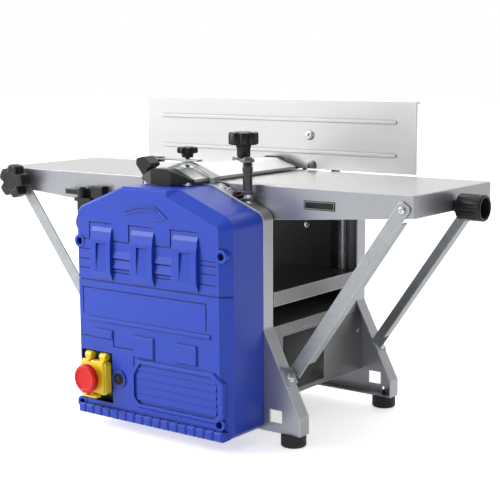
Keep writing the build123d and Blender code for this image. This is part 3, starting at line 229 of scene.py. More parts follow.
def lift_table_metal():
    look = Finish("lift_table_metal", (0.25, 0.25, 0.26), 0.38, 0.7)
    look.drift(12, (0.21, 0.21, 0.22), 0.5)
    # Painted shade: the top is painted much darker than the lip, standing in for the dark chamber
    # it reflects.
    look.facing_up((0.11, 0.11, 0.115), 0.28)
    look.drift(90, (0.30, 0.30, 0.31), 0.25, stretch=(6, 0.15, 0.3))
    # Painted highlight: a near-white line along the lip's top front edge.
    look.edge_wear_and_painted_light(2.4, (0.98, 0.98, 0.98), 1.0, painted_highlight=True)
    look.grain(600, 0.1, 0.05)
    return look.done()


def box_paint():
    look = Finish("box_paint", (0.25, 0.25, 0.255), 0.42, 0.6)
    look.drift(6, (0.18, 0.18, 0.185), 0.6)
    # Painted highlight: lighter, less metallic edges along the box's corners.
    look.edge_wear_and_painted_light(1.6, (0.75, 0.75, 0.76), 0.9, painted_highlight=True)
    look.grain(1100, 0.2, 0.06)
    return look.done()


def dark_paint():
    look = Finish("dark_paint", (0.016, 0.016, 0.018), 0.5)
    look.drift(14, (0.030, 0.030, 0.033), 0.5)
    look.edge_wear_and_painted_light(0.8, (0.09, 0.09, 0.10), 0.6)
    look.grain(1300, 0.3, 0.08)
    return look.done()


def drawn_steel(name, color, rough, stretch):
    look = Finish(name, color, rough, 1.0)
    look.drift(220, tuple(c * 0.72 for c in color), 0.6, stretch=stretch)
    look.edge_wear_and_painted_light(0.4, tuple(min(1, c * 1.35) for c in color), 0.5)
    look.grain(500, 0.15, 0.03, stretch=stretch)
    return look.done()


def thread_steel():
    look = Finish("thread_steel", (0.80, 0.81, 0.82), 0.3, 0.9)
    look.drift(220, (0.66, 0.67, 0.68), 0.5, stretch=(1, 1, 0.1))
    look.edge_wear_and_painted_light(0.3, (0.98, 0.98, 0.98), 0.6)
    # Painted shade: the thread's grooves are painted near black.
    look.shaded_creases(2.2, (0.010, 0.010, 0.011), 0.97)
    look.grain(500, 0.1, 0.02)
    return look.done()


def galvanised():
    look = Finish("galvanised_steel", (0.37, 0.39, 0.40), 0.42, 0.8)
    look.spangle(140, (0.30, 0.325, 0.33), 0.8)
    look.drift(25, (0.44, 0.45, 0.46), 0.4)
    # Painted highlight: a near-white line along the struts' edges.
    look.edge_wear_and_painted_light(1.5, (0.96, 0.97, 0.98), 0.95, painted_highlight=True)
    look.grain(800, 0.12, 0.04)
    return look.done()


def anodised():
    look = Finish("fence_aluminium", (0.70, 0.70, 0.69), 0.33, 0.8)
    look.drift(40, (0.62, 0.62, 0.62), 0.4, stretch=(0.03, 1, 9), detail=5)
    # Painted shade: darker edges and darker creases outline the fence's beads.
    look.edge_wear_and_painted_light(0.9, (0.40, 0.40, 0.41), 0.7)
    look.shaded_creases(3.0, (0.16, 0.16, 0.17))
    look.grain(260, 0.1, 0.03, stretch=(0.03, 1, 8))
    return look.done()


def cast_metal():
    look = Finish("cast_aluminium", (0.50, 0.50, 0.52), 0.45, 0.9)
    look.drift(60, (0.38, 0.38, 0.40), 0.6)
    look.edge_wear_and_painted_light(0.6, (0.8, 0.8, 0.8), 0.5)
    look.grain(420, 0.3, 0.1)
    return look.done()


def moulded(name, color, deep, edge, rough, grain=(1500, 0.22, 0.06), crease_shade=None, **sockets):
    """Injection-moulded plastic: sink marks, fine spark texture, corners lighter partly from
    rubbing and partly from a painted highlight, and painted shade in creases when a crease colour
    is given.
    """
    look = Finish(name, color, rough, 0.0, **sockets)
    look.drift(5, deep, 0.55)
    look.drift(300, deep, 0.2)
    # Lighter edges: partly rubbed wear, partly painted highlight.
    look.edge_wear_and_painted_light(0.9, edge, 0.55)
    if crease_shade:
        look.shaded_creases(4.0, crease_shade)
    look.grain(*grain)
    return look.done()


def rubber(name, color):
    look = Finish(name, color, 0.72, 0.0, Sheen_Weight=0.15, Sheen_Roughness=0.5)
    look.drift(30, tuple(c * 1.9 for c in color), 0.5)
    look.edge_wear_and_painted_light(0.7, tuple(c * 4 for c in color), 0.4)
    look.grain(900, 0.35, 0.1)
    return look.done()


SILVER = silver_paint()
TABLE = table_paint()
LIFT = lift_table_metal()
BOX = box_paint()
DARK = dark_paint()
STEEL = drawn_steel("bright_steel", (0.66, 0.67, 0.68), 0.26, (1, 0.1, 1))
DARK_STEEL = drawn_steel("dark_steel", (0.20, 0.20, 0.21), 0.38, (1, 0.2, 1))
THREAD = thread_steel()
ZINC = galvanised()
FENCE = anodised()
CAST = cast_metal()
BRASS = drawn_steel("brass", (0.72, 0.52, 0.22), 0.32, (1, 1, 0.2))
# Painted shade in the cover's grooves and a painted highlight on its edges.
BLUE = moulded(
    "cover_blue", (0.014, 0.060, 0.54), (0.011, 0.048, 0.46), (0.10, 0.20, 0.84), 0.36,
    crease_shade=(0.002, 0.008, 0.12), Specular_IOR_Level=0.4, Coat_Weight=0.06, Coat_Roughness=0.3)
BLACK = moulded(
    "black_plastic", (0.010, 0.010, 0.011), (0.015, 0.015, 0.016), (0.10, 0.10, 0.105), 0.34,
    Specular_IOR_Level=0.33)
YELLOW = moulded(
    "switch_yellow", (1.0, 0.74, 0.010), (0.97, 0.66, 0.006), (1.0, 0.88, 0.20), 0.27,
    grain=(900, 0.08, 0.04), Coat_Weight=0.3)
RED = moulded(
    "stop_red", (0.76, 0.006, 0.005), (0.66, 0.004, 0.004), (0.95, 0.10, 0.08), 0.32,
    grain=(900, 0.06, 0.04), Specular_IOR_Level=0.35)
GLOSS_BLACK = moulded(
    "gloss_black", (0.012, 0.012, 0.013), (0.016, 0.016, 0.017), (0.12, 0.12, 0.13), 0.14,
    grain=(700, 0.05, 0.03), Coat_Weight=0.5)
GREEN = moulded("start_green", (0.01, 0.30, 0.07), (0.01, 0.24, 0.05), (0.1, 0.5, 0.2), 0.3)
WHITE = moulded("glide_white", (0.80, 0.80, 0.78), (0.72, 0.72, 0.70), (0.95, 0.95, 0.95), 0.4)
BELT = rubber("belt_rubber", (0.018, 0.018, 0.018))
FOOT = rubber("foot_rubber", (0.015, 0.015, 0.016))

NODE_FINISHES = {
    SILVER: "front_side_plate rear_side_plate",
    TABLE: "infeed_table outfeed_table",
    LIFT: "thicknessing_table",
    BOX: "base_shell",
    DARK: "chamber_liners motor_housing bearing_housings",
    STEEL: "cutter_bearings kickback_shaft cutterblock planer_knives motor_shaft infeed_roller "
           "outfeed_roller spindle_front_right spindle_rear_right spindle_front_left "
           "spindle_rear_left",
    DARK_STEEL: "roller_bushes feed_chain lift_chain kickback_fingers knife_gibs fence_bracket "
                "fence_tilt_arms",
    BELT: "drive_belts",
    FOOT: "rubber_feet",
    BLUE: "drive_cover",
    BLACK: "case_screws outfeed_latch_block outfeed_latch_lever cable_gland crank_shaft crank_grip "
           "depth_knob brace_clamp_knob feed_knob overload_button fence_lock_knob guard_end_caps "
           "guard_knob guard_latch switch_body",
    ZINC: "infeed_braces outfeed_braces brace_bolts guard_bracket crank_arm fence_bolts",
    CAST: "motor_pulley cutter_pulley countershaft_pulley",
    BRASS: "lift_nuts",
    FENCE: "fence_panel guard_blade",
    YELLOW: "switch_flap",
    RED: "stop_mushroom",
    GREEN: "start_key",
}
for finish, names in NODE_FINISHES.items():
    for name in names.split():
        mesh = nodes_by_name[name].data
        mesh.materials.clear()
        mesh.materials.append(finish)


# ---- mesh helpers -------------------------------------------------------------------------------
AXIS_TURNS = {
    "+Z": Matrix.Identity(4),
    "-Y": Matrix.Rotation(pi / 2, 4, "X"),
    "+Y": Matrix.Rotation(-pi / 2, 4, "X"),
    "+X": Matrix.Rotation(pi / 2, 4, "Y"),
    "-X": Matrix.Rotation(-pi / 2, 4, "Y"),
}


def at(x, y, z, axis="+Z"):
    """Place a shape that is built up its own Z."""
    return Matrix.Translation((x, y, z)) @ AXIS_TURNS[axis]


def box_mm(node):
    low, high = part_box(node)
    return low / MM, high / MM


def centre_mm(node):
    low, high = box_mm(node)
    return (low + high) / 2


def middle(low, high, axes):
    """The middle of a box along the named axes."""
    return [(low["xyz".index(a)] + high["xyz".index(a)]) / 2 for a in axes]


def piece(name, bm, body, finish, stands_for=(), sharp=38):
    """Turn a mesh in millimetres into an object that rides on a body."""
    bmesh.ops.remove_doubles(bm, verts=bm.verts, dist=1e-3)
    bmesh.ops.recalc_face_normals(bm, faces=bm.faces)
    mesh = bpy.data.meshes.new(name)
    bm.to_mesh(mesh)
    bm.free()
    mesh.transform(Matrix.Scale(MM, 4))
    mesh.shade_smooth()
    mesh.set_sharp_from_angle(angle=radians(sharp))
    mesh.materials.append(finish)
    made = bpy.data.objects.new(name, mesh)
    scene.collection.objects.link(made)
    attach(made, body)
    if stands_for:
        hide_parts(*stands_for)
    return made


def loft(bm, place, rings, sides=48, ring_closed=False):
    """Skin a stack of rings: (height, radius), where radius may be a function of the angle."""
    rows = []
    for height, radius in rings:
        if not callable(radius) and radius < 1e-6:
            rows.append([bm.verts.new(place @ Vector((0, 0, height)))])
            continue
        row = []
        for i in range(sides):
            a = 2 * pi * i / sides
            r = radius(a) if callable(radius) else radius
            row.append(bm.verts.new(place @ Vector((r * cos(a), r * sin(a), height))))
        rows.append(row)
    pairs = list(zip(rows, rows[1:]))
    if ring_closed:
        pairs.append((rows[-1], rows[0]))
    for lower, upper in pairs:
        for i in range(sides):
            j = (i + 1) % sides
            if len(lower) == 1:
                bm.faces.new((lower[0], upper[j], upper[i]))
            elif len(upper) == 1:
                bm.faces.new((lower[i], lower[j], upper[0]))
            else:
                bm.faces.new((lower[i], lower[j], upper[j], upper[i]))


def lobed(radius, depth, lobes, width=0.62, start=0.0):
    """Radius of a hand knob: lobes with hollows between them, the first lobe at angle start."""
    def at_angle(a):
        phase = ((a - start) * lobes / (2 * pi)) % 1.0
        t = 1 - abs(phase - 0.5) * 2 / width
        return radius - (depth * (0.5 - 0.5 * cos(pi * t)) if t > 0 else 0)
    return at_angle


def squircle(half_x, half_y, power=9):
    """Radius of a rectangle with rounded corners."""
    def at_angle(a):
        return (abs(cos(a) / half_x) ** power + abs(sin(a) / half_y) ** power) ** (-1 / power)
    return at_angle


def round_off(part, radius, segments):
    bmesh.ops.bevel(part, geom=part.edges[:], offset=radius, segments=segments, profile=0.5,
                    affect="EDGES")


def rounded_box(bm, low, high, radius, place=None, segments=3):
    part = bmesh.new()
    bmesh.ops.create_cube(part, size=1)
    low, high = Vector(low), Vector(high)
    for v in part.verts:
        v.co = Vector([(low[i] + high[i]) / 2 + v.co[i] * (high[i] - low[i]) for i in range(3)])
    round_off(part, radius, segments)
    add(bm, part, place)


def slab(bm, outline, depth, radius, place, segments=2):
    """Extrude an outline up Z and round all its edges."""
    part = bmesh.new()
    bottom = part.faces.new([part.verts.new((x, y, 0)) for x, y in outline])
    grown = bmesh.ops.extrude_face_region(part, geom=[bottom])
    for v in grown["geom"]:
        if isinstance(v, bmesh.types.BMVert):
            v.co.z += depth
    bmesh.ops.recalc_face_normals(part, faces=part.faces)
    round_off(part, radius, segments)
    add(bm, part, place)


def add(bm, part, place=None):
    """Merge a second mesh into bm."""
    if place is not None:
        part.transform(place)
    bmesh.ops.recalc_face_normals(part, faces=part.faces)
    carrier = bpy.data.meshes.new("carrier")
    part.to_mesh(carrier)
    part.free()
    bm.from_mesh(carrier)
    bpy.data.meshes.remove(carrier)


def cross_head(bm, place, radius, height, recess=1.2):
    """Pan head with a cross recess, from z = 0 up."""
    part = bmesh.new()
    loops = []
    sides = 32
    profile = ((0.94, 0), (1, 0.12), (1, 0.5), (0.93, 0.78), (0.76, 0.95), (0.6, 1))
    for r, z in ((radius * wide, height * tall) for wide, tall in profile):
        loops.append([part.verts.new((r * cos(2 * pi * i / sides), r * sin(2 * pi * i / sides), z))
                      for i in range(sides)])
    for lower, upper in zip(loops, loops[1:]):
        for i in range(sides):
            part.faces.new((lower[i], lower[(i + 1) % sides], upper[(i + 1) % sides], upper[i]))
    part.faces.new(loops[0][::-1])
    arm, half = radius * 0.48, radius * 0.13
    cross = [(arm, -half), (arm, half), (half, half), (half, arm),
             (-half, arm), (-half, half), (-arm, half), (-arm, -half),
             (-half, -half), (-half, -arm), (half, -arm), (half, -half)]
    rim = [part.verts.new((x, y, height)) for x, y in cross]
    floor = [part.verts.new((x * 0.8, y * 0.8, height - recess)) for x, y in cross]
    corners = len(cross)
    edges = [part.edges.new((rim[i], rim[(i + 1) % corners])) for i in range(corners)]
    edges += [part.edges.get((loops[-1][i], loops[-1][(i + 1) % sides])) for i in range(sides)]
    bmesh.ops.triangle_fill(part, use_beauty=True, edges=edges)
    for i in range(corners):
        j = (i + 1) % corners
        part.faces.new((rim[i], rim[j], floor[j], floor[i]))
    part.faces.new(floor)
    add(bm, part, place)


# ---- hand knobs ---------------------------------------------------------------------------------
def star_rings(radius, depth, lobes, base, height, hub, width=0.62, start=0.0):
    """Rings of a lobed head with rounded rims and a shallow dished top."""
    def lobe(inset):
        return lobed(radius - inset, depth, lobes, width, start)
    top = base + height
    return [(base, hub), (base, lobe(2.2)), (base + 0.5, lobe(0.7)), (base + 1.8, lobe(0)),
            (top - 2.4, lobe(0)), (top - 0.9, lobe(0.7)), (top - 0.15, lobe(2.2)), (top, lobe(3.8)),
            (top, hub + 1.2), (top - 0.7, hub + 0.4), (top - 0.7, 0)]


def crank_knob():
    low, high = box_mm("crank_grip")
    x, y = middle(low, high, "xy")
    neck = 16.5
    bm = bmesh.new()
    rings = [(0, 0), (0, 8.4), (0.7, 9.2), (neck * 0.62, 9.4), (neck - 2.5, 10.2)]
    head = star_rings(20.5, 4.6, 7, neck, high.z - low.z - neck, 11)
    loft(bm, at(x, y, low.z), rings + head, 112)
    piece("crank_knob", bm, "crank_handle", BLACK, ["crank_grip"])


def strut_clamp_knob():
    low, high = box_mm("brace_clamp_knob")
    x, z = middle(low, high, "xz")
    reach = high.y - low.y
    bm = bmesh.new()
    stud = reach - 25
    rings = [(0, 0), (0, 3), (stud, 3), (stud, 10.4), (stud + 0.8, 11), (stud + 5.5, 11.6)]
    head = star_rings(26, 8.6, 5, stud + 6.7, 18, 13, 0.56, radians(8))
    loft(bm, at(x, high.y, z, "-Y"), rings + head, 120)
    piece("strut_clamp_knob", bm, "brace_clamp", BLACK, ["brace_clamp_knob"])


def guard_clamp_knob():
    low, high = box_mm("guard_knob")
    x, y = middle(low, high, "xy")
    bm = bmesh.new()
    head = 8.5
    neck = high.z - low.z - head
    rings = [(0, 0), (0, 3), (13.2, 3), (13.2, 7.4), (13.8, 8.0), (neck - 1.5, 8.2)]
    loft(bm, at(x, y, low.z), rings + star_rings(14.5, 3.4, 8, neck, head, 9.0), 112)
    piece("guard_clamp_knob", bm, "guard_clamp", BLACK, ["guard_knob"])


def tilt_lock_knob():
    low, high = box_mm("fence_lock_knob")
    y, z = middle(low, high, "yz")
    bm = bmesh.new()
    head = 12.0
    start = high.x - low.x - head
    rings = [(0, 0), (0, 3), (17.3, 3), (17.3, 6.6), (17.9, 7.2), (start - 1, 7.6)]
    loft(bm, at(low.x, y, z, "+X"), rings + star_rings(17, 4.4, 6, start, head, 8.6), 108)
    piece("tilt_lock_knob", bm, "fence_lock", BLACK, ["fence_lock_knob"])


def ribbed_depth_knob():
    """Cup-shaped knob on a stem, with a plain rim at its open end."""
    low, high = box_mm("depth_knob")
    y, z = middle(low, high, "yz")
    length = high.x - low.x
    cup = length - 36.0
    ribs = lobed(17.5, 1.5, 12, 0.34)
    rings = [(0, 0), (0, 4.4), (0.6, 5), (cup - 6.8, 5), (cup - 6.8, 7.4), (cup - 6.2, 8),
             (cup - 1, 8.4), (cup, 9.4), (cup, 15.4), (cup + 0.6, lobed(16.6, 0.9, 12, 0.34)),
             (cup + 1.8, ribs), (length - 7.5, ribs), (length - 6.4, 17.5), (length - 1.6, 17.5),
             (length - 0.5, 17.0), (length, 16.1), (length, 14.6), (length - 0.7, 13.7),
             (length - 2, 13.4), (cup + 14, 12.8), (cup + 13, 12), (cup + 13, 0)]
    bm = bmesh.new()
    loft(bm, at(low.x, y, z, "+X"), rings, 144)
    piece("ribbed_depth_knob", bm, "depth_knob_body", BLACK, ["depth_knob"])


def feed_selector_knob():
    low, high = box_mm("feed_knob")
    y, z = middle(low, high, "yz")
    length = high.x - low.x
    ribs = lobed(18, 1.3, 20, 0.5)
    rings = [(0, 0), (0, 6), (12.6, 6), (12.6, 17), (13.6, 18), (21, 18), (22, ribs),
             (length - 5, ribs), (length - 4, 17.4), (length - 1.5, 16), (length - 0.3, 13.5),
             (length, 10), (length, 0)]
    bm = bmesh.new()
    loft(bm, at(high.x, y, z, "-X"), rings, 160)
    piece("feed_selector_knob", bm, "feed_selector", BLACK, ["feed_knob"])


# ---- crank and lifting posts --------------------------------------------------------------------
SET_SCREW_TURN = radians(217)


def crank_parts():
    """Socket, tube with its nut, crank bar with both pins, and the set screw in the bar's end."""
    low, high = box_mm("crank_shaft")
    x, y = middle(low, high, "xy")
    collar, tube, top = 13.5, 18.5, high.z - low.z
    bm = bmesh.new()
    loft(bm, at(x, y, low.z), [(0, 0), (0, 5.4), (0.5, 5.9), (tube + 1, 5.9), (tube + 1, 0)], 48)
    piece("crank_socket", bm, "crank_post", STEEL)
    bm = bmesh.new()
    rings = [(tube - 1, 0), (tube - 1, 6.8), (tube - 0.4, 7.4), (tube + 2.4, 7.4),
             (tube + 3, 6.9), (tube + 3.4, 6.4), (top - 13, 6.4), (top - 12.4, 7.2),
             (top - 7, 7.2), (top - 6.4, 6.5), (top - 1, 6.5), (top, 6.2), (top, 0)]
    loft(bm, at(x, y, low.z), rings, 48)
    nut = [(collar - 4.6, 0), (collar - 4.6, 8.4), (collar - 4, 9.2), (collar - 1, 9.2),
           (collar - 0.4, 8.4), (collar - 0.4, 0)]
    loft(bm, at(x, y, low.z), nut, 6)
    piece("crank_tube", bm, "crank_post", GLOSS_BLACK, ["crank_shaft"])

    low, high = box_mm("crank_arm")
    grip = centre_mm("crank_grip")
    bar = hypot(grip.x - x, grip.y - y)
    turn = atan2(grip.y - y, grip.x - x)
    steps, half_width, thickness = 16, 9.4, 4.5
    outline = []
    for centre, start in ((bar, -pi / 2), (0, pi / 2)):
        for i in range(steps + 1):
            a = start + pi * i / steps
            outline.append((centre + half_width * cos(a), half_width * sin(a)))
    bm = bmesh.new()
    along = Matrix.Translation((x, y, low.z)) @ Matrix.Rotation(turn, 4, "Z")
    slab(bm, outline, thickness, 0.7, along)
    loft(bm, at(x, y, low.z + 4), [(0, 0), (0, 6.6), (1.9, 6.4), (2.8, 5.2), (3, 0)], 32)
    loft(bm, at(grip.x, grip.y, low.z + 4), [(0, 0), (0, 3), (15, 3), (15.8, 2.2), (15.8, 0)], 32)
    piece("crank_bar", bm, "crank_post", DARK_STEEL, ["crank_arm"])
    bm = bmesh.new()
    place = Matrix.Translation((grip.x, grip.y, low.z + 2.2)) @ Matrix.Rotation(
        SET_SCREW_TURN, 4, "Z") @ AXIS_TURNS["+X"]
    rings = [(8, 0), (8, 1.5), (11.4, 1.5), (11.4, 2.6), (15.2, 2.6), (15.6, 2.2), (15.6, 0)]
    loft(bm, place, rings, 24)
    piece("crank_set_screw", bm, "crank_post", STEEL)


def threaded_post(node, body):
    """Lifting post: plain foot with its sprocket and collar, then a screw thread up to its end."""
    low, high = box_mm(node)
    x, y = middle(low, high, "xy")
    pitch, crest, root, steps = 3.0, 6.0, 5.0, 6
    start, chamfer = 24.5, 1.5
    teeth = lobed(7.9, 1.5, 9, 0.8)
    rings = [(0, 0), (0, 5.4), (0.6, 6), (6, 6), (6, teeth), (8.4, teeth), (8.4, 6), (21.3, 6),
             (21.3, 7.6), (21.7, 8), (23.1, 8), (23.5, 7.6), (23.5, 5.6)]
    count = int((high.z - low.z - start - chamfer) / pitch * steps)
    for k in range(count + 1):
        height = start + k * pitch / steps

        def flank(a, k=k):
            """A V groove that climbs one pitch per turn, with a flat crest."""
            phase = (k / steps - a / (2 * pi)) % 1.0
            return root + (crest - root) * min(1, 2.6 * abs(phase - 0.5))
        rings.append((height, flank))
    end = high.z - low.z
    rings += [(end - 1, 5.0), (end, 4.2), (end, 0)]
    bm = bmesh.new()
    loft(bm, at(x, y, low.z), rings, 24)
    piece(node.replace("spindle", "threaded_post"), bm, body, THREAD, [node],
          sharp=50)


# ---- switch -------------------------------------------------------------------------------------
def stop_button():
    """Mushroom head with a dished face on its stem; the rings are measured back from the face."""
    low, high = box_mm("stop_mushroom")
    x, z = middle(low, high, "xz")
    reach = high.y - low.y
    rings = [(0, 0), (0, 8)]
    rings += [(reach - back, r) for back, r in (
        (9.8, 8), (9.4, 14), (9, 19), (8.4, 20), (6.8, 20.3), (3.6, 20.3), (1.6, 19.5),
        (0.4, 17.8), (0, 15.8), (0.2, 14.9), (0.9, 14.2), (1.1, 13), (1.1, 0))]
    bm = bmesh.new()
    loft(bm, at(x, high.y, z, "-Y"), rings, 96)
    rounded_box(bm, (x - 4, low.y + 6.6, low.z - 4.5), (x + 4, low.y + 9, low.z + 6), 1)
    piece("stop_button_head", bm, "stop_button", RED, ["stop_mushroom"])


def switch_lid():
    """Hollow yellow lid with a button collar, hinge knuckles, ridged side and pull tab."""
    low, high = box_mm("switch_flap")
    button = centre_mm("stop_mushroom")
    front, back = low.y + 5, high.y - 2.9
    z0, z1 = low.z + 4, high.z - 11.5
    half_x, half_z = (high.x - low.x) / 2 - 1.2, (z1 - z0) / 2
    x, z = (low.x + high.x) / 2, (z0 + z1) / 2
    depth = back - front

    def outline(inset):
        return squircle(half_x - inset, half_z - inset)
    bm = bmesh.new()
    rings = [(depth - 3, 0), (depth - 3, outline(4.5)), (0, outline(3)), (0, outline(0)),
             (depth - 5, outline(0)), (depth - 4.2, outline(1.4)), (depth - 1.6, outline(1.8)),
             (depth - 0.5, outline(2.4)), (depth, outline(3.8)), (depth, 0)]
    loft(bm, at(x, back, z, "-Y"), rings, 120)
    for knuckle in (x - 13.5, x + 13.5):
        loft(bm, at(knuckle - 6, high.y - 5.5, high.z - 5.5, "+X"),
             [(0, 0), (0, 4.8), (0.7, 5.5), (11.3, 5.5), (12, 4.8), (12, 0)], 32)
        rounded_box(bm, (knuckle - 4.5, high.y - 10.6, z1 - 3),
                    (knuckle + 4.5, high.y - 5, high.z - 4), 1.5)
        rounded_box(bm, (knuckle - 7, front + 2.5, z1 - 4),
                    (knuckle + 7, front + 9, z1 + 1.6), 1.4)
    for i in range(3):
        y = front + 2.6 + 4.2 * i
        rounded_box(bm, (high.x - 2, y, z0 + 5), (high.x, y + 2.2, z1 - 5), 0.5)
    rounded_box(bm, (x - 15, low.y, low.z), (x + 13, low.y + 12, low.z + 4.6), 2)
    loft(bm, at(button.x, front + 0.6, button.z, "-Y"),
         [(0, 0), (0, 13), (0.4, 13.4), (2.2, 13), (2.6, 12), (2.6, 0)], 48)
    piece("switch_lid_shell", bm, "switch_lid", YELLOW, ["switch_flap"])


def overload_cap():
    """Dished reset button, and the fixed ring around it on the cover's face."""
    low, high = box_mm("overload_button")
    x, z = middle(low, high, "xz")
    rings = [(0, 0), (0, 8.8), (5, 8.8), (5, 5), (10.6, 5), (11.3, 4.4), (11.5, 3.4), (11.0, 2.4),
             (10.6, 0)]
    bm = bmesh.new()
    loft(bm, at(x, high.y, z, "-Y"), rings, 48)
    piece("overload_cap", bm, "overload_reset", BLACK, ["overload_button"])
    bm = bmesh.new()
    face = low.y + 4
    rings = [(0, 9.2), (2.6, 9.2), (3.3, 8.8), (3.3, 6.4), (2.7, 6.0), (0, 6.0)]
    loft(bm, at(x, face, z, "-Y"), rings, 48, True)
    piece("overload_ring", bm, "frame", BLACK)


# ---- feet, bolts and plates ---------------------------------------------------------------------
LEG_BOLT = (166.6, 118.4, 93)
LEG_LEAN = atan2(59.0, 114.0)
SKIRT_BOLT_RIGHT, SKIRT_BOLT_LEFT, SKIRT_BOLT_Y, SKIRT_BOLT_Z = 331.0, -349.0, 107.5, 329
FENCE_BOLT_X, FENCE_BOLT_Z = 48.5, 401
FENCE_CLIP_X, FENCE_CLIP_Z = 52.2, 351.2
SHOULDER = (57, -118, 342.2)
SHOULDER_SLOPE = atan2(34.6, 87.1)


def feet():
    """Rubber feet with a groove around the middle and a screw hole."""
    low, high = box_mm("rubber_feet")
    r = 17.3
    top = high.z
    rings = [(0, 6), (0, 14.6), (0.7, 16.2), (2.4, r), (7.6, r), (8.1, r - 0.5), (8.9, r - 0.5),
             (9.4, r), (top - 0.7, r), (top, r - 0.6), (top, 3.1), (7, 3.1), (7, 6)]
    bm = bmesh.new()
    for x in (low.x + r, high.x - r):
        for y in (low.y + r, high.y - r):
            loft(bm, at(x, y, 0), rings, 64, True)
    piece("ribbed_feet", bm, "frame", FOOT, ["rubber_feet"])


def strut_bolts():
    """Pan-head bolts with washers and nuts.

    The lower ones are square to the leg's slope, the upper ones go through the skirt.  The clamp
    knob takes the place of the front left bolt in the skirt.
    """
    bm = bmesh.new()
    for side in (-1, 1):
        for sign in (-1, 1):
            place = Matrix.Translation((side * LEG_BOLT[0], sign * LEG_BOLT[1], LEG_BOLT[2]))
            place = place @ Matrix.Rotation(side * (pi / 2 - LEG_LEAN), 4, "Y")
            loft(bm, place, [(-7.5, 0), (-7.5, 2.6), (-7, 3), (2.3, 3), (2.3, 0)], 24)
            loft(bm, place, [(-5, 0), (-5, 5.5), (-2.2, 5.5), (-2.2, 0)], 6)
            loft(bm, place, [(2.2, 0), (2.2, 7.6), (2.5, 8), (3.2, 8), (3.5, 7.6), (3.5, 0)], 32)
            cross_head(bm, place @ Matrix.Translation((0, 0, 3.4)), 5.6, 3.2)
            if side < 0 and sign < 0:
                continue
            x = SKIRT_BOLT_RIGHT if side > 0 else SKIRT_BOLT_LEFT
            place = at(x, sign * SKIRT_BOLT_Y, SKIRT_BOLT_Z, "+Y" if sign > 0 else "-Y")
            loft(bm, place, [(-11, 0), (-11, 2.6), (-10.5, 3), (0, 3), (0, 0)], 24)
            loft(bm, place, [(-8.6, 0), (-8.6, 7), (-6, 7), (-6, 0)], 32)
            cross_head(bm, place, 5.0, 3.0)
    piece("strut_bolts", bm, "frame", STEEL, ["brace_bolts"])


def fence_fixings():
    """Button-head bolt with a hex socket, and the arched clip at the fence's foot."""
    low, _ = box_mm("fence_bolts")
    face = low.y + 2.6
    bm = bmesh.new()
    rings = [(-5.5, 0), (-5.5, 3), (0, 3), (0, 7.2), (0.3, 7.6), (0.9, 7.5), (1.7, 6.7),
             (2.3, 5.4), (2.6, 3.8), (2.6, 2.6), (1.1, 2.5), (1.1, 0)]
    loft(bm, at(FENCE_BOLT_X, face, FENCE_BOLT_Z, "-Y"), rings, 48)
    piece("fence_button_bolt", bm, "fence", STEEL, ["fence_bolts"])
    steps, half_width, shoulder = 12, 6.5, 5.6
    arch = [(-half_width, 0), (half_width, 0)]
    arch += [(half_width * cos(pi * i / steps), shoulder + half_width * sin(pi * i / steps))
             for i in range(steps + 1)]
    bm = bmesh.new()
    slab(bm, arch, 2.4, 0.5, at(FENCE_CLIP_X, face, FENCE_CLIP_Z, "-Y"))
    loft(bm, at(FENCE_CLIP_X, face - 2.2, 357, "-Y"), [(0, 0), (0, 3.4), (0.5, 3.2), (0.5, 0)], 24)
    piece("fence_foot_clip", bm, "fence", DARK_STEEL)


def guard_details():
    """White glides under the front cap, and the dark grip on the end of the guard's slide bar."""
    low, _ = box_mm("guard_end_caps")
    bm = bmesh.new()
    for x in (-48, 25):
        rounded_box(bm, (x, low.y + 9.5, 346.3), (x + 8, low.y + 15, 350.6), 0.8)
    piece("guard_glides", bm, "guard", WHITE)
    bm = bmesh.new()
    rounded_box(bm, (-73, -117.5, 372), (-54, -106.5, 379), 1.2)
    piece("slide_bar_grip", bm, "guard_arm", BLACK)


def small_screws():
    """Screws in the rear liner and the base box, and the liner's clip."""
    bm = bmesh.new()
    cross_head(bm, at(45, 106.2, 265, "-Y"), 5.0, 1.3, 0.6)
    cross_head(bm, at(131.3, 114, 111.2, "+X"), 3.0, 1.6, 0.8)
    rounded_box(bm, (38.5, 105.2, 272), (51, 106.3, 274.6), 0.3)
    piece("liner_screws", bm, "frame", THREAD)


def shoulder_fittings():
    """Strap, stop block and pin on the front plate's sloping shoulder, beside the crank."""
    slope = Matrix.Translation(SHOULDER) @ Matrix.Rotation(SHOULDER_SLOPE, 4, "Y")
    bm = bmesh.new()
    rounded_box(bm, (0, -7, -0.4), (23, 5, 1.8), 0.5, slope)
    for along in (5, 17):
        cross_head(bm, slope @ Matrix.Translation((along, -1, 1.8)), 2.9, 2.0, 0.8)
    rounded_box(bm, (9, -3, 1.6), (13.5, 4, 4.4), 0.5, slope)
    piece("shoulder_strap", bm, "frame", ZINC)
    bm = bmesh.new()
    rounded_box(bm, (23.6, -8, -0.4), (35.5, 6, 5.0), 0.8, slope)
    rounded_box(bm, (26, -8.5, 4), (31, 2, 8), 0.8, slope)
    piece("shoulder_stop", bm, "frame", BLACK)


